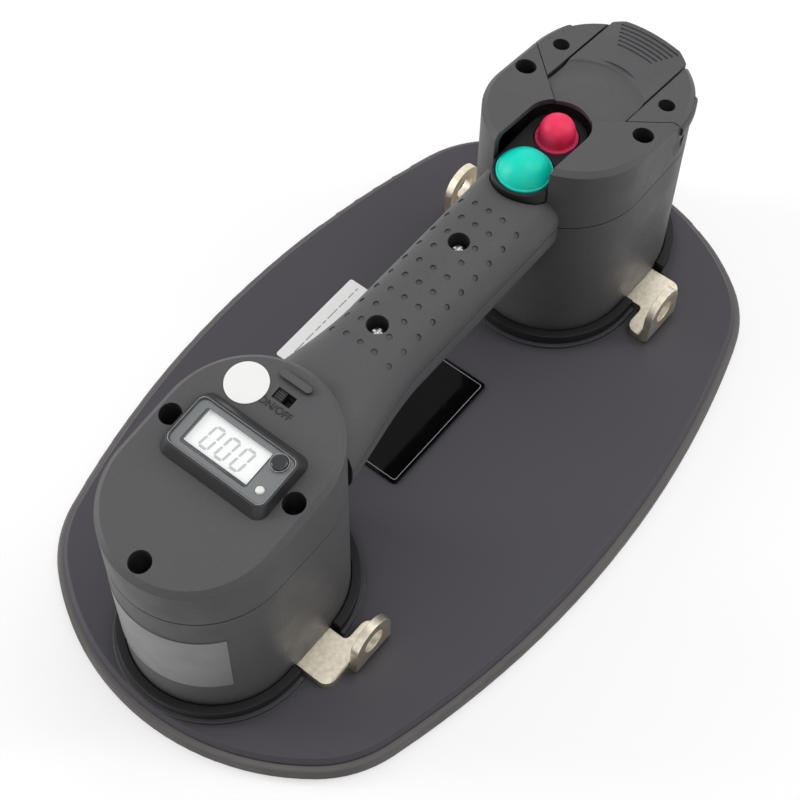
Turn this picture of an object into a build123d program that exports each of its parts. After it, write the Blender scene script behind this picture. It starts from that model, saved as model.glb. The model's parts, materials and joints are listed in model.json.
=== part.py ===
from build123d import *
import math
import os

# Battery vacuum lifter: two towers and a grip on an oval suction base.
# Millimetres. Origin at the middle of the footprint, on the floor, +Z up.
# The display tower stands at -X, the battery tower at +X.

# Oval base
base_length = 304.0
base_width = 184.0
end_radius = 97.0
corner_radius = 47.0
side_radius = 377.0
seal_height = 7.0
seal_width = 24.0
seal_edge_round = 1.4
plate_inset = 2.6
plate_thickness = 3.0
plate_lip = 0.9
plate_bevel = 1.5

# Towers
tower_x = 99.5
tower_length = 87.5
tower_width = 64.0
tower_top = 105.0
top_tilt = 7.9
rim_chamfer = 2.0
wall = 2.5
seam_drop = 25.0
seam_gap = 0.5
seam_depth = 0.5

# Raised ring on the plate round each tower foot
collar_clearance = 0.4
collar_wall = 3.2
collar_height = 6.0
collar_step = 1.4
collar_step_height = 1.4
collar_gap_margin = 1.6

# Grip between the towers
grip_width = 33.0
grip_height = 36.0
grip_drop = 26.0
grip_corner = 14.0
flare_start = -15.0
flare_width = 14.0
flare_rise = 2.0
flare_steps = ((0.0, 0.0), (0.25, 0.08), (0.55, 0.42), (1.0, 1.0))
root_overlap = 8.0
dimple_d = 2.3
dimple_depth = 0.45
dimple_first_x = 39.9
dimple_pitch = 7.85
dimple_columns = 10
dimple_rows_y = (-12.2, -6.0, 0.0, 6.0, 12.2)

# Shell screws
screw_head_d = 6.4
screw_head_h = 2.4
screw_shank_d = 2.9
pilot_clearance = 0.05
screw_hole_d = 3.4
screw_length = 16.0
screw_tip_gap = 1.0
head_hole_d = 7.8
boss_wall = 1.2
lower_boss_d = 9.0
lower_boss_length = 20.0
tower_shoulder = 3.0
grip_shoulder = 7.6
front_screws_offset = 5.3
nose_screw_offset = -37.4
rear_screws_offset = -4.1
side_screw_edge = 6.3
grip_screws_x = (-21.7, 22.8)

# Base screws that hold the lower shell on the plate
base_boss_edge = 6.3
base_boss_side_edge = 7.0
base_boss_back = 16.0
base_boss_d = 9.0
base_boss_height = 8.5
base_screw_d = 3.9
base_head_d = 7.5
base_head_h = 1.8
base_screw_length = 7.5

# Lifting brackets
bracket_thickness = 3.0
bracket_root_width = 18.0
bracket_root_offset = {-1: 2.5, 1: 4.5}
bracket_reach_in = 14.0
bracket_neck_out = 7.6
bracket_tab_out = 18.0
bracket_tab_width = 18.5
bracket_tab_shift = 11.5
bracket_hole_rise = 12.5
bracket_hole_d = 9.5
bracket_corner = 4.0
bracket_inner_corner = 2.0
bracket_step = 1.0
bracket_bend = 1.6
bracket_screw_in = 9.5
bracket_screw_pitch = 9.0
bracket_screw_d = 3.8
bracket_head_d = 7.0
bracket_head_h = 2.4
notch_clearance = 0.3

# Display pod on the display tower
pod_offset = 6.3
pod_foot = (26.0, 43.6)
pod_top = (20.6, 41.4)
pod_height = 4.3
pod_corner = 4.0
pod_neck = (20.6, 41.6)
pod_neck_clearance = 0.3
pod_wall = 0.8
lens_rim = 0.5
lens_thickness = 1.1
lens_clearance = 0.1
pod_roof = 1.3
lcd_window = (13.2, 26.6)
lcd_offset = (0.7, 2.3)
lcd_margin = 1.3
unit_offset = (5.7, -15.0)
unit_d = 5.4
unit_proud = 0.5
unit_travel = 0.5
unit_clearance = 0.3
unit_skirt = 1.0
unit_switch_width = 4.6
led_offset = (-4.9, -15.8)
led_d = 3.0
board_room = 3.6
board_thickness = 1.6
unit_plunger = 1.0
display_board_size = (44.0, 39.0)
display_board_offset = 15.5
standoff_d = 5.0
standoff_spots = ((-19.5, 16.5), (-19.5, -16.5), (19.5, 13.0), (19.5, -13.0))
small_screw_d = 1.9
small_head_d = 3.8
small_head_h = 1.4
small_screw_length = 4.0
small_tip_gap = 0.5

# Power slide switch
switch_offset = 30.9
slider_size = (3.6, 3.4)
slider_clearance = 0.3
slider_travel = 3.4
slider_drop = 0.4
slider_grooves = 4
slider_groove = (0.4, 0.3)
slider_foot = 1.0
switch_floor = 0.6
switch_body = (8.0, 13.0)
rib_bar = (2.6, 12.5)
rib_bar_offset = 37.2
rib_bar_height = 1.4

# Round inspection sticker
sticker_offset = 27.9
sticker_y = 13.2
sticker_d = 15.0
sticker_thickness = 0.2

# Start and release buttons
button_deck_drop = 5.0
deck_radius = 11.7
deck_clearance = 0.35
deck_depth = 13.0
deck_round = 0.8
start_offset = -39.1
release_offset = -19.9
start_flange_d = 20.4
start_dome_d = 18.8
start_dome_h = 6.6
start_travel = 2.5
release_flange_d = 15.8
release_dome_d = 13.2
release_neck_h = 2.6
release_travel = 3.0
flange_thickness = 1.4
flange_clearance = 0.35
flange_sink = 0.5
flange_stop = 0.4
stem_d = 7.0
stem_clearance = 0.05
stem_past_deck = 4.0
spring_wire = 0.9
spring_turns = 3.5
spring_side_gap = 0.5
spring_end_gap = 0.1
spring_facets = 6
start_switch_size = (12.0, 12.0, 7.0)
start_plunger = 2.0
start_hanger = 1.5
valve_d = 12.0
valve_height = 18.0
valve_gap = 0.5
valve_pin_d = 3.0
valve_pin_reach = 8.0
tube_d = 7.0
tube_bore = 4.0
port_flange_d = 16.0
port_flange_h = 2.5
port_barb_h = 7.0

# Battery pack
bay_wall_offset = -3.9
bay_wall = 1.8
pack_clearance = 0.5
pack_wall = 1.5
cap_drop = 13.0
cap_gap = 0.35
split_offset = -10.9
split_y = 8.3
split_slope = 0.9
cap_screws_offset = 14.8
cap_screw_edge = 8.7
cap_hole_d = 6.3
cap_hole_depth = 7.0
cap_head_gap = 0.6
cell_d = 18.4
cell_length = 64.8
cell_gap = 0.2
cell_side_gap = 0.2
cell_lift = 1.0
cell_headroom = 0.7
cell_first_offset = 7.7
grip_lug = (15.5, 4.4)
grip_lug_margin = 1.6
grip_lug_lift = 3.4
grip_lug_out = 1.0
grip_lug_edge = 0.8
grip_notch = (9.0, 7.0, 1.6)
grip_notch_shift = 2.0
notch_start = 0.02
guide_rib = 3.0
guide_rib_offsets = (2.0, 27.5)
guide_clearance = 0.4
socket_size = (24.0, 30.0)
blade_size = (1.2, 6.0, 5.0)
blade_y = 9.0
blade_clearance = 0.5
clip_wall = 1.0
socket_chamfer = 1.0

# Battery latch
latch_half_width = 16.5
latch_side_gap = 0.9
latch_thickness = 2.6
latch_pad_drop = 1.9
latch_back_inset = 0.8
latch_end_cut = 3.2
pad_crown = 3.0
latch_pivot_offset = 1.1
latch_pivot_drop = 6.0
latch_pin_d = 3.0
latch_pin_clearance = 0.05
latch_ear = 4.0
latch_ear_r = 3.4
latch_ear_top = 4.0
latch_pin_hold = 3.0
scoop_radius = 23.0
scoop_offset = -3.5
scoop_depth = 1.4
scoop_flat = 7.0
scoop_lip = 4.0
scoop_rise = 2.5
scoop_skim = 0.02
ridge_count = 6
ridge_pitch = 2.0
ridge_width = 0.9
ridge_depth = 0.5
ridge_margin = 2.2
ridge_half_width = 12.5
ridge_taper = 1.0
latch_spring_offset = 18.5
latch_spring_r = 4.0
latch_spring_turns = 2.5

# Pump, board and wiring in the display tower
pump_offsets = (-33.5, -3.5)
pump_half_width = 17.0
pump_z = (24.0, 50.0)
pump_corner = 3.0
pump_groove_offsets = (-28.5, -13.5)
pump_groove = (1.0, 4.0)
pump_nipple = 4.0
motor_round = 2.0
motor_d = 27.0
motor_length = 34.0
motor_cap = 6.0
motor_cap_d = 12.0
cradle_width = 8.0
cradle_wall = 4.0
cradle_clearance = 0.3
cradle_lip = 2.0
cradle_rail_y = 10.0
cradle_rail_h = 4.0
cradle_end = 3.0
suction_offset = -19.5
filter_d = 13.6
filter_clearance = 0.2
control_board_drop = 26.0
control_board_length = 54.0
control_board_edge = 10.0
board_hole_edge = 2.0
control_board_offset = 0.5
shelf_offsets = (-20.5, 19.5)
shelf_edge = 8.0
shelf_size = 8.0
shelf_height = 4.0
loom_d = 5.0
loom_drop = 10.0
loom_y = 9.3
loom_clip_x = (-36.0, 4.0, 42.0)
loom_clip = 4.0
loom_clearance = 0.1
loom_overlap = 6.0

# Stickers
name_plate = (56.0, 26.0)
name_plate_x = 0.5
info_label = (46.0, 32.0)
info_label_at = (12.0, 43.5)
label_thickness = 0.3
label_corner = 1.0
label_gap = 0.02
name_thickness = 0.8
name_corner = 1.5
rating_z = (32.0, 66.0)
rating_arc = (-54.0, 40.0)

# Worked out from the sizes above
plate_z = seal_height
floor_z = seal_height + plate_thickness
tower_straight = tower_length - tower_width
tilt = math.radians(top_tilt)
front, rear = -1, 1
front_x, rear_x = -tower_x, tower_x
half_width = tower_width / 2
pilot_d = screw_shank_d + 2 * pilot_clearance
seam_z = tower_top - seam_drop
grip_z = tower_top - grip_drop
grip_root = tower_x - tower_length / 2 + root_overlap
tower_shoulder_z = seam_z + tower_shoulder
grip_shoulder_z = seam_z + grip_shoulder
front_screws_x = front_x + front_screws_offset
nose_screw_x = front_x + nose_screw_offset
rear_screws_x = rear_x + rear_screws_offset
side_screws_y = half_width - side_screw_edge
base_boss_end = tower_length / 2 - base_boss_edge
base_boss_y = half_width - base_boss_side_edge
bracket_root_x = {side: side * tower_x + bracket_root_offset[side] for side in (front, rear)}
bracket_inner_y = half_width - bracket_reach_in
bracket_neck_y = half_width + bracket_neck_out
bracket_outer_y = half_width + bracket_tab_out
bracket_flat_y = bracket_outer_y - bracket_thickness
bracket_screw_y = half_width - bracket_screw_in
pod_x = front_x + pod_offset
board_drop = wall + board_room
display_board_x = front_x + display_board_offset
switch_x = front_x + switch_offset
switch_window = (slider_size[0] + 2 * slider_clearance, slider_size[1] + slider_travel + 2 * slider_clearance)
rib_bar_x = front_x + rib_bar_offset
sticker_x = front_x + sticker_offset
button_deck_z = tower_top - button_deck_drop
start_x = rear_x + start_offset
release_x = rear_x + release_offset
bay_wall_x = rear_x + bay_wall_offset
cap_bottom = tower_top - cap_drop
pack_half_width = cell_d + cell_gap / 2 + cell_side_gap + pack_wall
pack_bottom = cap_bottom - cell_headroom - cell_length - cell_lift - blade_size[2] - pack_wall
split_x = rear_x + split_offset
cap_screws_x = rear_x + cap_screws_offset
cap_screws_y = half_width - cap_screw_edge
cell_first_x = rear_x + cell_first_offset
cap_edge_x = split_x + (half_width - split_y) * split_slope
grip_lug_x = cap_edge_x + grip_lug_margin + grip_lug[0] / 2
grip_lug_z = cap_bottom + grip_lug_lift
grip_notch_x = cap_edge_x + grip_notch_shift
grip_notch_z = cap_bottom - grip_notch[1]
guide_rib_x = [rear_x + offset for offset in guide_rib_offsets]
latch_pad_z = tower_top - latch_pad_drop
latch_pivot_x = rear_x + latch_pivot_offset
scoop_x = rear_x + scoop_offset
latch_end_x = rear_x + tower_length / 2 - latch_end_cut
latch_spring_x = rear_x + latch_spring_offset
pump_x = [front_x + offset for offset in pump_offsets]
suction_x = front_x + suction_offset
board_z = seam_z - control_board_drop
control_board_x = front_x + control_board_offset
control_board_size = (control_board_length, tower_width - 2 * control_board_edge)
shelf_y = half_width - shelf_edge
shelf_spots = [(front_x + offset, s * shelf_y) for offset in shelf_offsets for s in (1, -1)]
loom_z = seam_z - loom_drop


def oval(inset):
    """Face of the three-radius oval base, set in by the given amount."""
    end_c = base_length / 2 - end_radius
    side_c = base_width / 2 - side_radius
    reach_a = end_radius - corner_radius
    reach_b = side_radius - corner_radius
    apart = math.hypot(end_c, side_c)
    along = (reach_b**2 - reach_a**2 + apart**2) / (2 * apart)
    off = math.sqrt(reach_b**2 - along**2)
    ux, uy = end_c / apart, -side_c / apart
    corner = (ux * along + uy * off, side_c + uy * along - ux * off)
    a_end = math.atan2(corner[1], corner[0] - end_c)
    a_side = math.atan2(corner[1] - side_c, corner[0])

    def on(cx, cy, r, a):
        return (cx + (r - inset) * math.cos(a), cy + (r - inset) * math.sin(a))

    p_end = on(end_c, 0, end_radius, a_end)
    p_side = on(0, side_c, side_radius, a_side)
    mid = on(*corner, corner_radius, (a_end + a_side) / 2)
    tip = (base_length / 2 - inset, 0)
    top = (0, base_width / 2 - inset)
    edges = []
    for sx in (1, -1):
        edges.append(ThreePointArc((sx * p_end[0], -p_end[1]), (sx * tip[0], 0), (sx * p_end[0], p_end[1])))
        for sy in (1, -1):
            ends = [(sx * p[0], sy * p[1]) for p in (p_end, mid, p_side)]
            edges.append(ThreePointArc(*ends))
    for sy in (1, -1):
        x, y = p_side[0], sy * p_side[1]
        edges.append(ThreePointArc((x, y), (0, sy * top[1]), (-x, y)))
    return make_face(Wire(edges).edges())


def block(x0, x1, y0, y1, z0, z1):
    """Box between two corners."""
    return Pos((x0 + x1) / 2, (y0 + y1) / 2, (z0 + z1) / 2) * Box(x1 - x0, y1 - y0, z1 - z0)


def rod(x, y, z0, z1, d):
    """Upright cylinder."""
    return Pos(x, y, (z0 + z1) / 2) * Cylinder(d / 2, z1 - z0)


def top_plane(side, x, lift=0.0):
    """Sloping top of a tower as a frame at x: its Z is the surface's normal."""
    level = tower_top - (side * x - tower_x) * math.tan(tilt)
    up = Vector(side * math.sin(tilt), 0, math.cos(tilt))
    origin = Vector(x, 0, level) + up * lift
    return Plane(origin=origin, x_dir=(math.cos(tilt), 0, -side * math.sin(tilt)), z_dir=up)


def slot_prism(side, inset, z0, z1):
    """Upright prism on the tower's stadium outline, set in by the given amount."""
    outline = SlotOverall(tower_length - 2 * inset, tower_width - 2 * inset)
    return Pos(side * tower_x, 0, z0) * extrude(outline, z1 - z0)


def below_top(side, solid, drop=0.0):
    """What lies under a tower's sloping top."""
    return split(solid, top_plane(side, side * tower_x, -drop), keep=Keep.BOTTOM)


def tower(side, inset, drop):
    """Solid tower under its sloping top, with the rim chamfered."""
    tall = tower_top + tower_length * math.tan(tilt)
    body = below_top(side, slot_prism(side, inset, floor_z, tall), drop)
    rim = body.faces().sort_by(Axis.Z)[-1].edges()
    return chamfer(rim, rim_chamfer - inset * rim_chamfer / tower_width)


def grip_section(x, inset, grow=0.0, rise=0.0):
    """Rounded cross-section of the grip at x."""
    width = grip_width + grow - 2 * inset
    height = grip_height + rise - 2 * inset
    outline = RectangleRounded(width, height, grip_corner + grow / 4 - inset)
    return Plane(origin=(x, 0, grip_z), x_dir=(0, 1, 0), z_dir=(1, 0, 0)) * outline


def grip(inset):
    """Grip bar between the towers, widening into the display tower."""
    bar = extrude(grip_section(flare_start, inset), grip_root - flare_start)
    run = flare_start + grip_root
    sections = []
    for t, share in flare_steps:
        sections.append(grip_section(flare_start - run * t, inset, flare_width * share, flare_rise * share))
    return bar + loft(sections)


def flare_share(x):
    """How much of the full flare the grip has at x."""
    t = max(0.0, (flare_start - x) / (flare_start + grip_root))
    for (t0, s0), (t1, s1) in zip(flare_steps, flare_steps[1:]):
        if t <= t1:
            return s0 + (s1 - s0) * (t - t0) / (t1 - t0)
    return 1.0


def grip_dimples():
    """Shallow round dimples over the top of the grip, clear of its screw holes."""
    cuts = []
    for i in range(dimple_columns):
        x = dimple_first_x - i * dimple_pitch
        share = flare_share(x)
        corner = grip_corner + flare_width * share / 4
        flat = (grip_width + flare_width * share) / 2 - corner
        top = grip_z + (grip_height + flare_rise * share) / 2
        for y in dimple_rows_y:
            if y == 0 and min(abs(x - screw_x) for screw_x in grip_screws_x) < head_hole_d:
                continue
            turn = math.asin(max(abs(y) - flat, 0) / corner)
            z = top - corner * (1 - math.cos(turn))
            lean = -math.copysign(math.degrees(turn), y)
            cuts.append(Pos(x, y, z) * Rot(lean, 0, 0) * Cylinder(dimple_d / 2, 2 * dimple_depth))
    return Compound(cuts)


def housing(inset):
    """Whole outer form of towers and grip, set in by the given amount."""
    return tower(front, inset, inset) + tower(rear, inset, inset) + grip(inset)


def seam_groove(form):
    """Shallow groove round the housing where the two shells meet."""
    slab = Pos(0, 0, seam_z) * Box(2 * base_length, 2 * base_width, seam_gap)
    return (form & slab) - housing(seam_depth)


def shell_screw_spots():
    """Places of the shell screws as (x, y, shoulder height, tower side or None)."""
    spots = [(nose_screw_x, 0, tower_shoulder_z, front)]
    for s in (1, -1):
        spots.append((front_screws_x, s * side_screws_y, tower_shoulder_z, front))
        spots.append((rear_screws_x, s * side_screws_y, tower_shoulder_z, rear))
    spots += [(x, 0, grip_shoulder_z, None) for x in grip_screws_x]
    return spots


def base_boss_spots():
    """Places of the bosses that take the screws through the base plate."""
    spots = []
    for side in (front, rear):
        cx = side * tower_x
        spots += [(cx - base_boss_end, 0), (cx + base_boss_end, 0)]
        spots += [(cx - base_boss_back, base_boss_y), (cx - base_boss_back, -base_boss_y)]
    return spots


def make_seal():
    """Soft ring that meets the tile."""
    ring = extrude(oval(0) - oval(seal_width), seal_height)
    outer = ring.faces().filter_by(Plane.XY)
    edges = [e for f in outer for e in f.outer_wire().edges()]
    return fillet(edges, seal_edge_round)


def make_base_plate():
    """Pressed plate with a bevelled rim, a ring round each tower foot and its holes."""
    plate = Pos(0, 0, plate_z) * extrude(oval(plate_inset), plate_thickness)
    top = plate.faces().sort_by(Axis.Z)[-1]
    plate = chamfer(top.edges(), plate_bevel, plate_thickness - plate_lip, reference=top)
    for side in (front, rear):
        inner = -collar_clearance
        outer = inner - collar_wall
        step = outer - collar_step
        ring = slot_prism(side, outer, floor_z, floor_z + collar_height)
        ring += slot_prism(side, step, plate_z, floor_z + collar_step_height)
        ring -= slot_prism(side, inner, floor_z, floor_z + collar_height)
        half = bracket_root_width / 2 + collar_gap_margin
        x = bracket_root_x[side]
        ring -= block(x - half, x + half, -base_width, base_width, floor_z, floor_z + collar_height)
        plate += ring
    for x, y in base_boss_spots():
        plate -= rod(x, y, plate_z, floor_z, base_screw_d + 2 * pilot_clearance)
        plate -= rod(x, y, plate_z, plate_z + base_head_h, base_head_d + 2 * flange_clearance)
    for x, y in bracket_screw_spots():
        plate -= rod(x, y, plate_z, floor_z, bracket_screw_d + 2 * pilot_clearance)
    plate -= rod(suction_x, 0, plate_z, floor_z, filter_d + 2 * filter_clearance)
    plate -= rod(release_x, 0, plate_z, floor_z, tube_bore)
    return plate


def bracket_screw_spots(side=None, flank=None):
    """Places of the bracket screws, for one bracket or for all four."""
    spots = []
    for s in (front, rear):
        for f in (1, -1):
            if (side, flank) in ((None, None), (s, f)):
                for d in (-0.5, 0.5):
                    spots.append((bracket_root_x[s] + d * bracket_screw_pitch, f * bracket_screw_y))
    return spots


def make_lower_shell(form, core):
    """Lower halves of both towers and the grip in one moulding."""
    cut = Plane.XY.offset(seam_z)
    shell = split(form - core, cut, keep=Keep.BOTTOM)
    inside = split(form, cut, keep=Keep.BOTTOM)
    bosses = []
    for x, y, _, _ in shell_screw_spots():
        bosses.append(rod(x, y, seam_z - lower_boss_length, seam_z, lower_boss_d))
    for x, y in base_boss_spots():
        bosses.append(rod(x, y, floor_z, floor_z + base_boss_height, base_boss_d))
    for x, y in shelf_spots:
        half = shelf_size / 2
        y1 = math.copysign(tower_width / 2, y)
        y0 = y - math.copysign(half, y)
        bosses.append(block(x - half, x + half, min(y0, y1), max(y0, y1), board_z - shelf_height, board_z))
    shell += inside & Compound(bosses)
    shell += inside & bay_partition(floor_z, seam_z, floor_z + base_boss_height)
    for x, y, _, _ in shell_screw_spots():
        shell -= rod(x, y, seam_z - screw_length, seam_z, pilot_d)
    for x, y in base_boss_spots():
        shell -= rod(x, y, floor_z, floor_z + base_screw_length, base_screw_d + 2 * pilot_clearance)
    for x, y in shelf_spots:
        shell -= rod(x, y, board_z - shelf_height, board_z, small_screw_d + 2 * pilot_clearance)
    top = floor_z + bracket_thickness + notch_clearance
    for side in (front, rear):
        half = bracket_root_width / 2 + notch_clearance
        x = bracket_root_x[side]
        shell -= block(x - half, x + half, -tower_width, tower_width, floor_z, top)
    for x in loom_clip_x:
        x0, x1 = x - loom_clip / 2, x + loom_clip / 2
        shell += inside & block(x0, x1, loom_y - loom_d, half_width, grip_z - grip_height, loom_z)
    shell -= loom_rod(loom_clearance)
    return shell - seam_groove(form)


def bay_partition(z0, z1, rib_z):
    """Cross wall and guide ribs of the battery bay."""
    half = tower_width / 2
    walls = block(bay_wall_x - bay_wall, bay_wall_x, -half, half, z0, z1)
    for x in guide_rib_x:
        for s in (1, -1):
            y0 = pack_half_width + guide_clearance
            y = sorted((s * y0, s * half))
            walls += block(x - guide_rib / 2, x + guide_rib / 2, y[0], y[1], rib_z, z1)
    return walls


def cap_plan(gap):
    """Plan of the battery side of the top, behind its two slanting edges."""
    far = tower_x + tower_length
    x0 = split_x + gap * math.hypot(1, split_slope)
    y1 = tower_width
    x1 = x0 + (y1 - split_y) * split_slope
    pts = [(x0, -split_y), (x1, -y1), (far, -y1), (far, y1), (x1, y1), (x0, split_y)]
    return make_face(Polyline(*pts, close=True))


def cap_region(gap):
    """Upright prism on the battery side's plan, above the cap's lower edge."""
    return Pos(0, 0, cap_bottom) * extrude(cap_plan(gap), tower_top + tower_length - cap_bottom)


def deck_prism(grow, z0, z1):
    """Upright stadium prism of the button deck."""
    length = release_x - start_x
    outline = SlotCenterToCenter(length, 2 * (deck_radius + grow))
    return Pos((start_x + release_x) / 2, 0, z0) * extrude(outline, z1 - z0)


def finger_notches():
    """Reliefs in the tower wall under the battery's two finger lugs."""
    cuts = []
    for s in (1, -1):
        y = s * tower_width / 2
        length, _, depth = grip_notch
        low = Pos(grip_notch_x, y, grip_notch_z) * Rectangle(length / 2, notch_start)
        wide = Pos(grip_notch_x, y, cap_bottom + cap_gap) * Rectangle(length, 2 * depth)
        cuts.append(loft([low, wide], ruled=True))
    return Compound(cuts)


def make_upper_shell(form, core):
    """Upper halves of the towers and grip, with every opening of the top."""
    cut = Plane.XY.offset(seam_z)
    shell = split(form - core, cut, keep=Keep.TOP)
    inside = split(form, cut, keep=Keep.TOP)
    tall = tower_top + tower_length
    bosses = []
    for x, y, _, _ in shell_screw_spots():
        bosses.append(rod(x, y, seam_z, tall, head_hole_d + 2 * boss_wall))
    shell += inside & Compound(bosses)
    shell += inside & bay_partition(seam_z, cap_bottom, seam_z)
    board = top_plane(front, display_board_x, -board_drop).location
    for u, v in standoff_spots:
        shell += board * rod(u, v, board_thickness, board_drop - wall / 2, standoff_d)
    for x, y, shoulder, _ in shell_screw_spots():
        shell -= rod(x, y, seam_z, shoulder, screw_hole_d)
        shell -= rod(x, y, shoulder, tall, head_hole_d)
    for u, v in standoff_spots:
        shell -= board * rod(u, v, 0, small_screw_length, small_screw_d + 2 * pilot_clearance)
    pod = top_plane(front, pod_x).location
    neck = [size + 2 * pod_neck_clearance for size in pod_neck]
    shell -= pod * extrude(RectangleRounded(*neck, pod_corner / 2), 2 * wall, both=True)
    shell -= top_plane(front, switch_x).location * Box(*switch_window, 4 * wall)
    bar = extrude(SlotOverall(rib_bar[1], rib_bar[0]), rib_bar_height)
    shell += top_plane(front, rib_bar_x).location * Rot(0, 0, 90) * bar
    shell -= deck_prism(deck_clearance, button_deck_z - deck_depth - deck_clearance, tall)
    shell -= cap_region(0)
    shell -= finger_notches()
    shell -= grip_dimples()
    return shell - seam_groove(form)


def screw(x, y, z, head_d, head_h, shank_d, length):
    """Pan-head screw pointing down, head seated at z."""
    head = rod(x, y, z, z + head_h, head_d)
    head = chamfer(head.faces().sort_by(Axis.Z)[-1].edges(), head_h / 3)
    return head + rod(x, y, z - length, z, shank_d)


def make_shell_screws(in_grip):
    """Screws that join the shells, in the grip or in the towers."""
    out = []
    for x, y, shoulder, side in shell_screw_spots():
        if (side is None) == in_grip:
            length = shoulder - seam_z + screw_length - screw_tip_gap
            out.append(screw(x, y, shoulder, screw_head_d, screw_head_h, screw_shank_d, length))
    return out


def make_base_screws():
    """Screws from under the plate into the lower shell."""
    out = []
    for x, y in base_boss_spots():
        head = rod(x, y, plate_z, plate_z + base_head_h, base_head_d)
        out.append(head + rod(x, y, plate_z, floor_z + base_screw_length - screw_tip_gap, base_screw_d))
    return out


def make_bracket(side, flank):
    """Lifting bracket: a flat foot under the tower wall and an upright eye."""
    half_root = bracket_root_width / 2
    tab_x = bracket_tab_shift
    half_tab = bracket_tab_width / 2
    step_y = bracket_flat_y - bracket_step
    thick = (bracket_flat_y + bracket_outer_y) / 2
    neck_end = bracket_neck_y + bracket_corner
    foot = block(-half_root, half_root, bracket_inner_y, neck_end, 0, bracket_thickness)
    foot += block(-half_root, tab_x + half_tab, bracket_neck_y, bracket_outer_y, 0, bracket_thickness)
    foot -= block(-half_root, tab_x - half_tab, step_y, bracket_outer_y, 0, bracket_thickness)
    corners = [(-half_root, step_y, bracket_corner), (tab_x + half_tab, bracket_neck_y, bracket_corner),
               (half_root, bracket_neck_y, bracket_inner_corner)]
    for x, y, radius in corners:
        foot = fillet(foot.edges().filter_by(Axis.Z).sort_by_distance((x, y, 0))[0:1], radius)
    eye = Pos(tab_x, thick, bracket_hole_rise) * Rot(90, 0, 0)
    tab = block(tab_x - half_tab, tab_x + half_tab, bracket_flat_y, bracket_outer_y, 0, bracket_hole_rise)
    body = foot + tab + eye * Cylinder(half_tab, bracket_thickness)
    inner = body.edges().filter_by(Axis.X).sort_by_distance((tab_x, bracket_flat_y, bracket_thickness))[0]
    body = fillet([inner], bracket_bend)
    outer = body.edges().filter_by(Axis.X).sort_by_distance((tab_x, bracket_outer_y, 0))[0]
    body = fillet([outer], bracket_bend + bracket_thickness / 2)
    body -= eye * Cylinder(bracket_hole_d / 2, bracket_thickness * 4)
    if side > 0:
        body = mirror(body, Plane.YZ)
    if flank < 0:
        body = mirror(body, Plane.XZ)
    body = Pos(bracket_root_x[side], 0, floor_z) * body
    for x, y in bracket_screw_spots(side, flank):
        body -= rod(x, y, floor_z, floor_z + bracket_thickness, bracket_screw_d + 2 * pilot_clearance)
    return body


def make_bracket_screws():
    """Screws that clamp the brackets to the plate."""
    z = floor_z + bracket_thickness
    sizes = (bracket_head_d, bracket_head_h, bracket_screw_d, z - plate_z)
    return [screw(x, y, z, *sizes) for x, y in bracket_screw_spots()]


def make_pod():
    """Raised frame round the display, with its neck through the tower top."""
    low = RectangleRounded(*pod_foot, pod_corner)
    high = Pos(0, 0, pod_height) * RectangleRounded(*pod_top, pod_corner)
    body = loft([low, high], ruled=True)
    body += Pos(0, 0, -wall) * extrude(RectangleRounded(*pod_neck, pod_corner / 2), wall)
    pocket_z = pod_height - lens_thickness
    pocket = RectangleRounded(pod_top[0] - 2 * lens_rim, pod_top[1] - 2 * lens_rim, pod_corner - lens_rim)
    body -= Pos(0, 0, pocket_z) * extrude(pocket, lens_thickness)
    roof = pocket_z - pod_roof
    inside = RectangleRounded(pod_neck[0] - 2 * pod_wall, pod_neck[1] - 2 * pod_wall, pod_corner / 4)
    body -= Pos(0, 0, -wall) * extrude(inside, wall + roof)
    body -= Pos(*lcd_offset, roof) * extrude(Rectangle(*lcd_window), pod_roof)
    body -= rod(*unit_offset, roof, pocket_z, unit_d + 2 * unit_clearance)
    body -= rod(*led_offset, roof, pocket_z, led_d + 2 * unit_clearance)
    return top_plane(front, pod_x).location * body


def make_lens():
    """Clear window over the display with holes for the button and the lamp."""
    size = [s - 2 * lens_rim - 2 * lens_clearance for s in pod_top]
    outline = RectangleRounded(*size, pod_corner - lens_rim)
    body = Pos(0, 0, pod_height - lens_thickness) * extrude(outline, lens_thickness)
    body -= rod(*unit_offset, 0, pod_height, unit_d + 2 * unit_clearance)
    body -= rod(*led_offset, 0, pod_height, led_d + 2 * unit_clearance)
    return top_plane(front, pod_x).location * body


def make_lcd():
    """Display glass on its backlight, standing on the display board."""
    roof = pod_height - lens_thickness - pod_roof
    z0 = -board_drop + board_thickness
    width = min(lcd_window[0] + 2 * lcd_margin, pod_neck[0] - 2 * pod_wall - 2 * lens_clearance)
    body = Pos(0, lcd_offset[1], z0) * extrude(Rectangle(width, lcd_window[1] + 2 * lcd_margin), roof - z0)
    return top_plane(front, pod_x).location * body


def make_unit_button():
    """Small round button beside the display, guided by the pod roof."""
    roof = pod_height - lens_thickness - pod_roof
    cap = rod(*unit_offset, roof - unit_skirt, pod_height + unit_proud, unit_d)
    cap = fillet(cap.faces().sort_by(Axis.Z)[-1].edges(), unit_proud)
    return top_plane(front, pod_x).location * cap


def make_unit_switch():
    """Push switch on the display board under the small button."""
    roof = pod_height - lens_thickness - pod_roof
    z0 = -board_drop + board_thickness
    z1 = roof - unit_skirt - unit_travel - unit_clearance
    top = z1 - unit_plunger
    body = Pos(*unit_offset, (z0 + top) / 2) * Box(unit_switch_width, unit_switch_width, top - z0)
    body += rod(*unit_offset, top, z1, unit_d / 2)
    return top_plane(front, pod_x).location * body


def make_led():
    """Round-topped lamp beside the display."""
    z0 = -board_drop + board_thickness
    body = rod(*led_offset, z0, pod_height, led_d)
    body = fillet(body.faces().sort_by(Axis.Z)[-1].edges(), led_d / 4)
    return top_plane(front, pod_x).location * body


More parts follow.
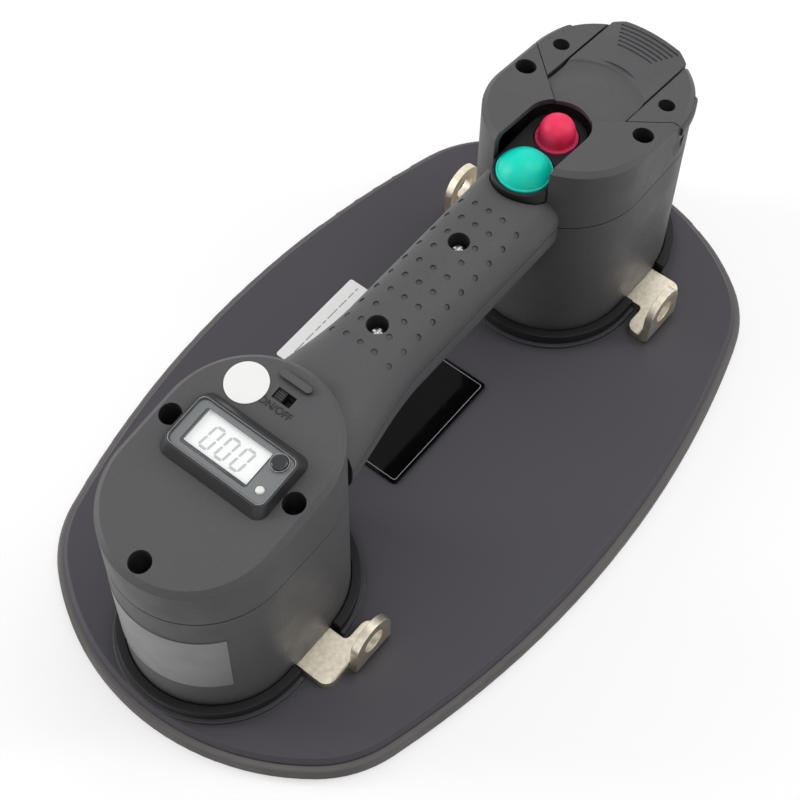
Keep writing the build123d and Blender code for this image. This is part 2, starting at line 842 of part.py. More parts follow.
def make_display_board():
    """Circuit board that carries the display, button switch and power switch."""
    board = Box(*display_board_size, board_thickness, align=(Align.CENTER, Align.CENTER, Align.MIN))
    for u, v in standoff_spots:
        board -= rod(u, v, 0, board_thickness, small_screw_d + 2 * pilot_clearance)
    board = top_plane(front, display_board_x, -board_drop).location * board
    return board & slot_prism(front, wall + pack_clearance, floor_z, tower_top + tower_length)


def make_display_screws():
    """Small screws that hold the display board under the tower top."""
    out = []
    for u, v in standoff_spots:
        body = rod(u, v, -small_head_h, 0, small_head_d)
        body += rod(u, v, 0, small_screw_length - small_tip_gap, small_screw_d)
        out.append(top_plane(front, display_board_x, -board_drop).location * body)
    return out


def make_switch_body():
    """Slide switch housing on the display board."""
    z0 = -board_drop + board_thickness
    z1 = -wall
    body = Pos(0, 0, z0) * extrude(Rectangle(*switch_body), z1 - z0)
    slot_width = slider_size[0] / 2 + 2 * slider_clearance
    slot = Pos(0, 0, z1) * Box(slot_width, switch_window[1], 2 * (z1 - z0 - switch_floor))
    return top_plane(front, switch_x).location * (body - slot)


def make_slider():
    """Ridged thumb slider of the power switch."""
    y0 = switch_window[1] / 2 - slider_clearance - slider_size[1]
    cap = block(-slider_size[0] / 2, slider_size[0] / 2, y0, y0 + slider_size[1], -wall, -slider_drop)
    width, depth = slider_groove
    for i in range(slider_grooves):
        x = (i - (slider_grooves - 1) / 2) * slider_size[0] / slider_grooves - width / 2
        cap -= block(x, x + width, y0, y0 + slider_size[1], -slider_drop - depth, -slider_drop)
    mid = y0 + slider_size[1] / 2
    half = slider_size[0] / 4
    cap += block(-half, half, mid - half, mid + half, -wall - slider_foot, -wall)
    return top_plane(front, switch_x).location * cap


def make_sticker():
    """Round blank sticker on the display tower."""
    disc = extrude(Circle(sticker_d / 2), sticker_thickness)
    return top_plane(front, sticker_x).location * Pos(0, sticker_y, 0) * disc


def button_well(x, flange_d, travel):
    """Bore for one button: a well for its flange and a hole for its stem."""
    depth = flange_thickness + travel + flange_stop - flange_sink
    well = rod(x, 0, button_deck_z - depth, button_deck_z, flange_d + 2 * flange_clearance)
    low = button_deck_z - deck_depth
    return well + rod(x, 0, low, button_deck_z, stem_d + 2 * stem_clearance), button_deck_z - depth


def make_deck():
    """Raised deck that carries both push buttons."""
    body = deck_prism(0, button_deck_z - deck_depth, button_deck_z)
    top = body.faces().sort_by(Axis.Z)[-1].edges()
    body = fillet(top, deck_round)
    wells = [button_well(start_x, start_flange_d, start_travel),
             button_well(release_x, release_flange_d, release_travel)]
    for x, (well, low) in zip((start_x, release_x), wells):
        body -= well
        body -= spring_pocket(x, low)
    return body


def spring_pocket(x, well_z):
    """Ring-shaped pocket for a button's return spring."""
    outer = stem_d / 2 + 2 * spring_side_gap + 2 * spring_wire
    return rod(x, 0, well_z - spring_drop(), well_z, 2 * outer)


def spring_drop():
    """Depth of a spring pocket under its well."""
    return spring_turns * spring_wire


def make_button(x, flange_d, travel, dome):
    """Push button: dome, flange in its well and stem through the deck."""
    z = button_deck_z + flange_sink
    body = rod(x, 0, z - flange_thickness, z, flange_d)
    body = fillet(body.faces().sort_by(Axis.Z)[-1].edges(), flange_thickness / 3)
    low = button_deck_z - deck_depth - stem_past_deck
    return body + Pos(x, 0, z) * dome + rod(x, 0, low, z, stem_d)


def start_dome():
    """Low rounded dome of the start button."""
    a, h = start_dome_d / 2, start_dome_h
    r = (a * a + h * h) / (2 * h)
    ball = Pos(0, 0, h - r) * Sphere(r)
    return ball & Pos(0, 0, h) * Box(4 * a, 4 * a, 2 * h)


def release_dome():
    """Taller rounded dome of the release button."""
    r = release_dome_d / 2
    ball = Pos(0, 0, release_neck_h) * Sphere(r)
    upper = ball & Pos(0, 0, release_neck_h + r) * Box(4 * r, 4 * r, 2 * r)
    return rod(0, 0, 0, release_neck_h, release_dome_d) + upper


def coil(x, z0, z1, radius, wire, turns):
    """Open coil spring standing between two heights."""
    lead = z1 - z0 - wire
    path = Helix(pitch=lead / turns, height=lead, radius=radius)
    ring = Plane(origin=path @ 0, z_dir=path % 0) * RegularPolygon(wire / 2, spring_facets)
    return Pos(x, 0, z0 + wire / 2) * sweep(ring, path)


def button_spring(x, flange_d, travel):
    """Return spring between a well's pocket and the button's flange."""
    well_z = button_well(x, flange_d, travel)[1]
    under = button_deck_z + flange_sink - flange_thickness
    radius = stem_d / 2 + spring_side_gap + spring_wire / 2
    low = well_z - spring_drop()
    return coil(x, low + spring_end_gap, under - spring_end_gap, radius, spring_wire, spring_turns)


def make_start_switch():
    """Push switch hung under the deck below the start button."""
    sx, sy, sz = start_switch_size
    top = button_deck_z - deck_depth - stem_past_deck - start_travel - valve_gap
    lid = top - start_plunger
    x0, x1 = start_x - sx / 2, start_x + sx / 2
    body = block(x0, x1, -sy / 2, sy / 2, lid - sz, lid)
    body += rod(start_x, 0, lid, top, stem_d)
    for s in (1, -1):
        y = sorted((s * sy / 2, s * (sy / 2 - start_hanger)))
        body += block(x0, x1, *y, lid, button_deck_z - deck_depth)
    return body


def make_valve_body():
    """Air release valve hung under the deck below the release button."""
    top = button_deck_z - deck_depth
    low = top - stem_past_deck - release_travel - valve_height
    body = rod(release_x, 0, low, top, valve_d)
    body -= rod(release_x, 0, low + valve_height - valve_pin_reach, top, stem_d + 2 * flange_clearance)
    body -= rod(release_x, 0, low, top, valve_pin_d + 2 * flange_clearance)
    return body + valve_nipple(low)


def valve_nipple(low):
    """Barb under the release valve."""
    barb = rod(release_x, 0, low - port_barb_h, low, tube_bore - 2 * pilot_clearance)
    return barb - rod(release_x, 0, low - port_barb_h, low, tube_bore / 2)


def make_valve_pin():
    """Pin under the release button's stem that lifts the valve disc."""
    top = button_deck_z - deck_depth - stem_past_deck
    return rod(release_x, 0, top - valve_pin_reach, top, valve_pin_d)


def make_port(x, hole):
    """Flanged barb on the base plate."""
    body = rod(x, 0, floor_z, floor_z + port_flange_h, port_flange_d)
    body += rod(x, 0, floor_z, floor_z + port_flange_h + port_barb_h, tube_bore - 2 * pilot_clearance)
    return body - rod(x, 0, floor_z, floor_z + port_flange_h + port_barb_h, hole)


def make_tube(x, z0, z1):
    """Straight soft tube pushed over two barbs."""
    return rod(x, 0, z0, z1, tube_d) - rod(x, 0, z0, z1, tube_bore)


def pack_outline(inset):
    """Outline of the battery case: flat inside, following the tower's round end outside."""
    x0 = bay_wall_x + pack_clearance + inset
    radius = tower_width / 2 - wall - pack_clearance - inset
    cx = tower_x + tower_straight / 2
    y = pack_half_width - inset
    disc = Pos(cx, 0) * Circle(radius)
    band = Pos((x0 + cx) / 2, 0) * Rectangle(cx - x0, 2 * y)
    end = Pos(cx + radius / 2, 0) * Rectangle(radius, 2 * y)
    return (band + (disc & end)) & cap_plan(cap_gap + pack_clearance + inset)


def make_pack_case():
    """Open-topped battery case with slots for the contacts."""
    body = Pos(0, 0, pack_bottom) * extrude(pack_outline(0), cap_bottom - pack_bottom)
    low = body.faces().sort_by(Axis.Z)[0].edges()
    body = fillet(low, pack_wall / 2)
    body -= Pos(0, 0, pack_bottom + pack_wall) * extrude(pack_outline(pack_wall), cap_bottom)
    for x, y in blade_spots():
        t, w = [size + 2 * blade_clearance for size in blade_size[:2]]
        body -= Pos(x, y, pack_bottom) * Box(w, t, 4 * pack_wall)
    return body


def blade_spots():
    """Places of the two contact blades."""
    x = cell_first_x + (cell_d + cell_gap) / 2
    return [(x, blade_y), (x, -blade_y)]


def make_cells():
    """Four cells standing in the battery case."""
    z0 = pack_bottom + pack_wall + blade_size[2] + cell_lift
    out = []
    for i in (0, 1):
        for s in (1, -1):
            x = cell_first_x + i * (cell_d + cell_gap)
            out.append(rod(x, s * (cell_d + cell_gap) / 2, z0, z0 + cell_length, cell_d))
    return out


def make_pack_board():
    """Contact board under the cells, with two clips for the blades."""
    z1 = pack_bottom + pack_wall + blade_size[2] + cell_lift
    outline = pack_outline(pack_wall + pack_clearance)
    body = Pos(0, 0, z1 - board_thickness) * extrude(outline, board_thickness)
    for x, y in blade_spots():
        t, w, h = [size + 2 * blade_clearance for size in blade_size]
        clip = extrude(Rectangle(w + 2 * clip_wall, t + 2 * clip_wall), h - board_thickness)
        body += Pos(x, y, z1 - h) * (clip - Box(w, t, 2 * h - 2 * board_thickness))
    return body


def make_socket():
    """Contact block that the battery stands on."""
    x = blade_spots()[0][0]
    body = Pos(x, 0, floor_z) * extrude(Rectangle(*socket_size), pack_bottom - floor_z)
    return chamfer(body.faces().sort_by(Axis.Z)[-1].edges(), socket_chamfer)


def make_blades():
    """Two contact blades standing on the contact block."""
    t, w, h = blade_size
    return [Pos(x, y, pack_bottom) * extrude(Rectangle(w, t), h) for x, y in blade_spots()]


def latch_room():
    """Pocket in the battery cap that the latch moves in."""
    half = latch_half_width + latch_side_gap
    far, high = tower_x + tower_length, tower_top + tower_length
    return block(split_x, far, -half, half, cap_bottom + pack_wall, high)


def latch_pivot():
    """Height of the latch's pivot axis."""
    return top_plane(rear, latch_pivot_x).origin.Z - latch_pivot_drop


def finger_lugs():
    """Low finger lugs on both sides of the cap, following the tower's wall."""
    length, height = grip_lug
    z1 = grip_lug_z + height
    band = slot_prism(rear, -grip_lug_out, grip_lug_z, z1)
    band = chamfer(band.faces().filter_by(Plane.XY).edges(), grip_lug_edge)
    band -= slot_prism(rear, wall, grip_lug_z, z1)
    return band & Pos(grip_lug_x, 0, grip_lug_z) * Box(length, 2 * tower_width, 2 * height)


def make_cap():
    """Battery cap: two side cheeks on a floor, with finger lugs."""
    top = below_top(rear, slot_prism(rear, 0, cap_bottom, tower_top + tower_length))
    rim = top.faces().sort_by(Axis.Z)[-1].edges()
    top = chamfer(rim, rim_chamfer)
    body = top & cap_region(cap_gap)
    body += finger_lugs()
    body -= deck_prism(deck_clearance, cap_bottom, tower_top + tower_length)
    body -= latch_room()
    z = latch_pivot()
    for s in (1, -1):
        y = s * (latch_half_width + latch_side_gap)
        bore = Cylinder(latch_pin_d / 2 + latch_pin_clearance, 2 * latch_ear)
        body -= Pos(latch_pivot_x, y, z) * Rot(90, 0, 0) * bore
    for x, y in cap_screw_spots():
        plane_z = top_plane(rear, x).origin.Z
        body -= rod(x, y, plane_z - cap_hole_depth, plane_z + wall, cap_hole_d)
        body -= rod(x, y, cap_bottom, plane_z, small_screw_d + 2 * pilot_clearance)
    return body


def cap_screw_spots():
    """Places of the two screws in the battery cap."""
    return [(cap_screws_x, cap_screws_y), (cap_screws_x, -cap_screws_y)]


def make_cap_screws():
    """Screws that close the battery cap."""
    out = []
    for x, y in cap_screw_spots():
        seat = top_plane(rear, x).origin.Z - cap_hole_depth
        head_d = cap_hole_d - 2 * cap_head_gap
        out.append(screw(x, y, seat, head_d, small_head_h, small_screw_d, seat - cap_bottom))
    return out


def latch_prism(z0, z1):
    """Upright prism on the latch's outline."""
    x0 = split_x + cap_gap * math.hypot(1, split_slope)
    x1 = x0 + (latch_half_width - split_y) * split_slope
    far, w = latch_end_x, latch_half_width
    pts = [(x0, -split_y), (x1, -w), (far, -w), (far, w), (x1, w), (x0, split_y)]
    body = Pos(0, 0, z0) * extrude(make_face(Polyline(*pts, close=True)), z1 - z0)
    body &= slot_prism(rear, latch_back_inset, z0, z1)
    return body - deck_prism(deck_clearance, z0, z1)


def pad_crown_bar(drop):
    """Long round bar whose top is the pad's crowned surface, lowered by the given amount."""
    radius = (latch_half_width**2 + pad_crown**2) / (2 * pad_crown)
    return Pos(rear_x, 0, latch_pad_z - radius) * Rot(0, 90, 0) * Cylinder(radius - drop, 2 * tower_length)


def thumb_scoop():
    """Smooth round hollow between the latch's flat front and its pad."""
    low = (scoop_radius - scoop_lip, -scoop_depth)
    start, end = (scoop_flat, scoop_skim), (scoop_radius, scoop_rise)
    fall = Spline(start, low, tangents=((1, 0), (1, 0)))
    climb = Spline(low, end, tangents=((1, 0), (1, 1)))
    rest = Polyline(end, (0, scoop_rise), (0, scoop_skim), start)
    profile = make_face(fall.edges() + climb.edges() + rest.edges())
    return top_plane(rear, scoop_x).location * revolve(Plane.XZ * profile, Axis.Z)


def make_latch():
    """Latch tongue: sloping front, thumb scoop and crowned ridged pad, with pivot ears."""
    whole = latch_prism(cap_bottom, latch_pad_z + wall)
    whole = split(whole, top_plane(rear, tower_x, -latch_thickness), keep=Keep.TOP)
    slope = split(whole, top_plane(rear, tower_x), keep=Keep.BOTTOM)
    pad = (whole & pad_crown_bar(0)) - Pos(scoop_x, 0, latch_pad_z) * Cylinder(scoop_radius, 4 * wall)
    body = slope + pad - thumb_scoop()
    for i in range(ridge_count):
        x = latch_end_x - ridge_margin - i * ridge_pitch
        slot = Pos(x, 0, latch_pad_z) * Box(ridge_width, 2 * (ridge_half_width - i * ridge_taper), 2 * wall)
        body -= slot - pad_crown_bar(ridge_depth)
    z = latch_pivot()
    x0, x1 = latch_pivot_x - latch_ear_r, latch_pivot_x + latch_ear_r
    for s in (1, -1):
        y = sorted((s * latch_half_width, s * (latch_half_width - latch_ear)))
        body += Pos(latch_pivot_x, sum(y) / 2, z) * Rot(90, 0, 0) * Cylinder(latch_ear_r, latch_ear)
        body += block(x0, x1, *y, z, z + latch_ear_top)
    bore = Cylinder(latch_pin_d / 2 + latch_pin_clearance, tower_width)
    return body - Pos(latch_pivot_x, 0, z) * Rot(90, 0, 0) * bore


def make_latch_pin():
    """Pivot pin of the latch, held in the cap's cheeks."""
    length = 2 * (latch_half_width + latch_side_gap + latch_pin_hold)
    return Pos(latch_pivot_x, 0, latch_pivot()) * Rot(90, 0, 0) * Cylinder(latch_pin_d / 2, length)


def make_latch_spring():
    """Spring that lifts the latch off the cap's floor."""
    under = top_plane(rear, latch_spring_x, -latch_thickness).origin.Z
    drop = latch_spring_r * math.tan(tilt)
    low = cap_bottom + pack_wall + spring_end_gap
    high = under - drop - spring_end_gap
    return coil(latch_spring_x, low, high, latch_spring_r, spring_wire, latch_spring_turns)


def pump_axis_z():
    """Height of the pump motor's axis."""
    return (pump_z[0] + pump_z[1]) / 2


def make_pump():
    """Pump head with its nipple under it."""
    body = block(*pump_x, -pump_half_width, pump_half_width, *pump_z)
    body = fillet(body.edges().filter_by(Axis.X), pump_corner)
    width, depth = pump_groove
    for offset in pump_groove_offsets:
        body -= Pos(front_x + offset, 0, pump_z[1]) * Box(width, 2 * pump_half_width, 2 * depth)
    return body + rod(suction_x, 0, pump_z[0] - pump_nipple, pump_z[0], tube_bore - 2 * pilot_clearance)


def make_motor():
    """Pump motor: round can with its bearing boss."""
    can = Rot(0, 90, 0) * Cylinder(motor_d / 2, motor_length)
    x = pump_x[1] + motor_length / 2
    body = Pos(x, 0, pump_axis_z()) * can
    body = fillet(body.faces().sort_by(Axis.X)[-1].edges(), motor_round)
    boss = Rot(0, 90, 0) * Cylinder(motor_cap_d / 2, motor_cap)
    return body + Pos(pump_x[1] + motor_length + motor_cap / 2, 0, pump_axis_z()) * boss


def make_cradle():
    """Saddle on the base plate that carries the motor, and a pad for the pump head."""
    mid = pump_x[1] + motor_length / 2
    half = motor_d / 2 + cradle_wall
    body = block(mid - cradle_width, mid + cradle_width, -half, half, floor_z, pump_axis_z() - cradle_lip)
    seat = Cylinder(motor_d / 2 + cradle_clearance, 4 * cradle_width)
    body -= Pos(mid, 0, pump_axis_z()) * Rot(0, 90, 0) * seat
    x0, x1 = pump_x[0] + cradle_end, pump_x[1] - cradle_end
    for s in (1, -1):
        y = sorted((s * cradle_rail_y, s * pump_half_width))
        body += block(x0, mid, *y, floor_z, floor_z + cradle_rail_h)
        body += block(x0, x1, *y, floor_z, pump_z[0])
    return body


def make_filter():
    """Foam disc in the plate's suction hole."""
    return rod(suction_x, 0, plate_z, floor_z, filter_d)


def make_control_board():
    """Main circuit board on its four shelves."""
    cx = control_board_x
    sx, sy = control_board_size
    body = block(cx - sx / 2, cx + sx / 2, -sy / 2, sy / 2, board_z, board_z + board_thickness)
    for x, y in shelf_spots:
        hole_y = math.copysign(sy / 2 - board_hole_edge, y)
        body -= rod(x, hole_y, board_z, board_z + board_thickness, small_screw_d + 2 * pilot_clearance)
    return body


def loom_rod(grow):
    """Straight cable through the grip."""
    x0 = control_board_x + control_board_length / 2 - loom_overlap
    x1 = bay_wall_x - bay_wall
    return Pos((x0 + x1) / 2, loom_y, loom_z) * Rot(0, 90, 0) * Cylinder(loom_d / 2 + grow, x1 - x0)


def make_name_plate():
    """Blank glossy plate under the grip."""
    plate = extrude(RectangleRounded(*name_plate, name_corner), name_thickness)
    return Pos(name_plate_x, 0, floor_z) * plate


def make_info_label():
    """Blank paper label on the plate."""
    label = extrude(RectangleRounded(*info_label, label_corner), label_thickness)
    return Pos(*info_label_at, floor_z) * label


def make_rating_label():
    """Blank label bent round the front of the display tower."""
    z0, z1 = rating_z
    ring = slot_prism(front, -label_thickness, z0, z1) - slot_prism(front, -label_gap, z0, z1)
    cx = -tower_x - tower_straight / 2
    reach = tower_width
    a0, a1 = [math.radians(180 + a) for a in rating_arc]
    pts = [(cx, 0), (cx + reach * math.cos(a0), -reach * math.sin(a0)), (cx - reach * 1.5, 0),
           (cx + reach * math.cos(a1), -reach * math.sin(a1))]
    wedge = Pos(0, 0, z0) * extrude(make_face(Polyline(*pts, close=True)), z1 - z0)
    return ring & wedge


def solids_of(shape):
    """All solids of a shape or a list of shapes."""
    if isinstance(shape, (list, tuple)):
        return [s for item in shape for s in item.solids()]
    return list(shape.solids())


def write(name, shape):
    """Write one node."""
    solids = solids_of(shape)
    export_step(solids[0] if len(solids) == 1 else Compound(children=solids), f"parts/{name}.step")


def main():
    os.makedirs("parts", exist_ok=True)
    form = housing(0)
    core = housing(wall)
    for side in (front, rear):
        core += slot_prism(side, wall, floor_z - wall, floor_z + wall)
    tube_low = floor_z + port_flange_h
    valve_low = button_deck_z - deck_depth - stem_past_deck - release_travel - valve_height
    nodes = {
        "seal_ring": make_seal(),
        "base_plate": make_base_plate(),
        "lower_shell": make_lower_shell(form, core),
        "upper_shell": make_upper_shell(form, core),
        "grip_screws": make_shell_screws(True),
        "tower_screws": make_shell_screws(False),
        "base_screws": make_base_screws(),
        "bracket_front_left": make_bracket(front, 1),
        "bracket_front_right": make_bracket(front, -1),
        "bracket_rear_left": make_bracket(rear, 1),
        "bracket_rear_right": make_bracket(rear, -1),
        "bracket_screws": make_bracket_screws(),
        "display_pod": make_pod(),
        "display_lens": make_lens(),
        "lcd_panel": make_lcd(),
        "unit_button": make_unit_button(),
        "unit_switch": make_unit_switch(),
        "status_lamp": make_led(),
        "display_board": make_display_board(),
        "display_screws": make_display_screws(),
        "power_switch": make_switch_body(),
        "power_slider": make_slider(),
        "round_sticker": make_sticker(),
        "button_deck": make_deck(),
        "start_button": make_button(start_x, start_flange_d, start_travel, start_dome()),
        "release_button": make_button(release_x, release_flange_d, release_travel, release_dome()),
        "start_spring": button_spring(start_x, start_flange_d, start_travel),
        "release_spring": button_spring(release_x, release_flange_d, release_travel),
        "start_switch": make_start_switch(),
        "release_valve": make_valve_body(),
        "release_valve_pin": make_valve_pin(),
        "release_tube": make_tube(release_x, tube_low, valve_low),
        "release_port": make_port(release_x, tube_bore / 2),
        "battery_case": make_pack_case(),
        "battery_cap": make_cap(),
        "battery_cells": make_cells(),
        "battery_board": make_pack_board(),
        "battery_socket": make_socket(),
        "battery_contacts": make_blades(),
        "cap_screws": make_cap_screws(),
        "battery_latch": make_latch(),
        "latch_pin": make_latch_pin(),
        "latch_spring": make_latch_spring(),
        "vacuum_pump": make_pump(),
        "pump_motor": make_motor(),
        "pump_cradle": make_cradle(),
        "suction_port": make_port(suction_x, tube_bore / 2),
        "suction_tube": make_tube(suction_x, tube_low, pump_z[0]),
        "inlet_filter": make_filter(),
        "control_board": make_control_board(),
        "wiring_loom": loom_rod(0),
        "name_plate": make_name_plate(),
        "info_label": make_info_label(),
        "rating_label": make_rating_label(),
    }
    for name, shape in nodes.items():
        write(name, shape)


main()
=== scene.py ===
import json
import math

import bpy
from mathutils import Matrix, Vector


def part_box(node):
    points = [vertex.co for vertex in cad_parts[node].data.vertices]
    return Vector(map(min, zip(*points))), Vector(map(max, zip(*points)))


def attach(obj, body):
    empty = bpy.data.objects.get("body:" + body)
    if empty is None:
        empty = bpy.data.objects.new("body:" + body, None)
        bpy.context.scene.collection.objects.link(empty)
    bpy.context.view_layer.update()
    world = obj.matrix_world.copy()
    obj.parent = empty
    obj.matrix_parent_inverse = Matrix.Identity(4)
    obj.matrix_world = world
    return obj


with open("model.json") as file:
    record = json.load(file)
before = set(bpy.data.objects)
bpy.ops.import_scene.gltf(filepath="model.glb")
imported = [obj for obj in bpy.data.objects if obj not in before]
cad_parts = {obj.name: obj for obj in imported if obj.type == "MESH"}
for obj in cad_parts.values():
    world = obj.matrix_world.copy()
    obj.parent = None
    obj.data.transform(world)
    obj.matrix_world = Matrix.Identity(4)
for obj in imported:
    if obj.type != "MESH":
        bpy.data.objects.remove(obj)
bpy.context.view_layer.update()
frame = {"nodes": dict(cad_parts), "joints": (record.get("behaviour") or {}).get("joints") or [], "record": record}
nodes = frame["nodes"]

MM = 0.001
X_AXIS = Vector((1, 0, 0))
Y_AXIS = Vector((0, 1, 0))
UP = Vector((0, 0, 1))

# Camera fitted to the photo: metres, degrees, and millimetres of lens and sensor.
CAM_TARGET = Vector((7.81, 12.71, 0.0)) * MM
CAM_DISTANCE = 692.9 * MM
CAM_AZIMUTH = -52.31
CAM_ELEVATION = 58.01
CAM_ROLL = 1.07
CAM_LENS = 80.2
CAM_SENSOR = 36.0
CAM_NEAR = 50 * MM

# Room light: its level across and along a bright axis that leans from the zenith.
SKY = (0.08, 0.72)
SKY_AXIS = (0.36, 0.28, 0.89)

# Soft boxes round the object: place and size in metres, power in watts.
LAMPS = {
    "overhead": ((0.3, -0.3, 1.45), (0.8, 0.8), 5.4),
    "front": ((-0.68, -0.52, 1.0), (0.5, 0.5), 1.6),
    "left": ((-0.66, 1.08, 0.5), (0.35, 0.9), 8.5),
    "right": ((0.75, -0.85, 0.7), (0.3, 0.9), 3.5),
}
LAMP_TARGET = Vector((0, 0, 50 * MM))

# Floor: half its width, its drop below the object, its grey, and the white glow that it
# has for the camera, which grows between two distances from the middle.
FLOOR_HALF = 4.0
FLOOR_DROP = 0.02 * MM
FLOOR_GREY = 0.5
FLOOR_ROUGH = 0.9
FLOOR_REACH = (0.3, 1.4)
FLOOR_GLOW = (0.54, 0.8)

# Edges sharper than this stay crisp in the shading, in degrees.
CREASE = 28

# Height above the base plate from which the collars round the towers are darker.
COLLAR_STEP = 1.6 * MM

# Display digits. The gaps that shorten the level and upright bars are in bar widths.
DIGITS = 3
DIGIT_WIDTH = 4.4 * MM
DIGIT_HEIGHT = 8.2 * MM
DIGIT_PITCH = 6.3 * MM
DIGIT_SHIFT = 0.6 * MM
DIGIT_LEAN = 0.12
DIGIT_LIFT = 0.02 * MM
DIGIT_THICKNESS = 0.03 * MM
BAR = 0.95 * MM
BAR_GAP_LEVEL = 1.3
BAR_GAP_UPRIGHT = 0.25

# Lettering beside the power switch, dark with painted shade.
LETTER_SIZE = 3.6 * MM
LETTER_WEIGHT = 0.02 * MM
LETTER_RAISE = 0.08 * MM
LETTER_LIFT = 0.05 * MM
LETTER_FROM_SWITCH = 4.6 * MM

# Grey print under the display lens, with its openings; its grey is partly a painted reflection of the lens.
LENS_MARGIN = 0.7 * MM
LENS_CORNER = 2.6 * MM
LCD_BORDER = 0.8 * MM
LCD_CORNER = 1.0 * MM
BUTTON_ROOM = 0.35 * MM
MASK_THICKNESS = 0.06 * MM
MASK_LIFT = 0.06 * MM

# Painted highlight along the lens's edge, and the ring round the small button. A band is given by how far its
# two outlines are in from the lens, or out from the button, over the whole width.
LENS_HIGHLIGHT_BAND = (0.3 * MM, 0.8 * MM)
LENS_HIGHLIGHT_THICKNESS = 0.05 * MM
LENS_HIGHLIGHT_LIFT = 0.005 * MM
RING_BAND = (1.1 * MM, 0.5 * MM)
RING_THICKNESS = 0.08 * MM
RING_LIFT = 0.02 * MM
RING_STEPS = 12

# Generic dashes on the paper label, in a few lengths that follow a stride.
LABEL_ROWS = 5
LABEL_MARGIN = 2.0 * MM
LABEL_DASH = 0.45 * MM
LABEL_SHORTEST = 2.0 * MM
LABEL_LONGER = 1.3 * MM
LABEL_LENGTHS = 4
LABEL_STRIDE = 7
LABEL_GAP = 1.1 * MM
LABEL_SLACK = 0.02 * MM
LABEL_LIFT = 0.01 * MM
LABEL_THICKNESS = 0.02 * MM

# Painted highlight: a pale line on the black plate inside its edge; and the plate's domed edge.
HIGHLIGHT_INSET = 1.1 * MM
HIGHLIGHT_WIDTH = 0.3 * MM
HIGHLIGHT_CORNER = 1.6 * MM
HIGHLIGHT_THICKNESS = 0.03 * MM
HIGHLIGHT_LIFT = 0.005 * MM
DOME_WIDTH = 0.9 * MM
DOME_STEPS = 5
DOME_ANGLE = 40

# Screws: half outline of a raised head from its rim to its top, the cross recess, and the
# least distance between two screws.
PAN_PROFILE = [
    (radius * MM, height * MM)
    for radius, height in ((2.7, 0), (2.7, 0.9), (2.4, 1.7), (1.7, 2.3), (0.9, 2.6), (0, 2.7))
]
PAN_SINK = 0.02 * MM
PAN_STEPS = 28
RECESS_WIDTH = 0.9 * MM
RECESS_ARM = 3.4 * MM
RECESS_DEPTH = 1.1 * MM
SCREW_SPACING = 8.0 * MM

# Steps of a rounded corner. A circle is a square with corners of nearly half its width.
CORNER_STEPS = 8
NEARLY_ROUND = 0.999

# Slope of the display tower's top, from the small button's travel.
PRESS = next(j for j in frame["joints"] if j["name"] == "unit_press")
TOP_NORMAL = -Vector(PRESS["axis"]).normalized()
TOP_Y = Y_AXIS
TOP_X = TOP_Y.cross(TOP_NORMAL).normalized()


# Materials


COAT_ROUGH = 0.12
EDGE_SAMPLES = 6

# Range that most noise values lie in.
NOISE_SPAN = (0.3, 0.7)

# Openness at which the painted shade in corners starts and is full, and how dark it is.
CORNER_SHADE_SPAN = (0.92, 0.35)
CORNER_SHADE_TONE = 0.12

# Cosine of the edge's turn at which paler edges, rubbed wear and painted highlight in one, start and are full, and
# their range in patches.
WEAR_AND_HIGHLIGHT_SPAN = (0.97, 0.80)
WEAR_AND_HIGHLIGHT_PATCHES = (0.2, 1.0)


def shade(colour, *factors):
    """A colour scaled by one factor, or by one for each channel."""
    return [c * factors[i % len(factors)] for i, c in enumerate(colour)]


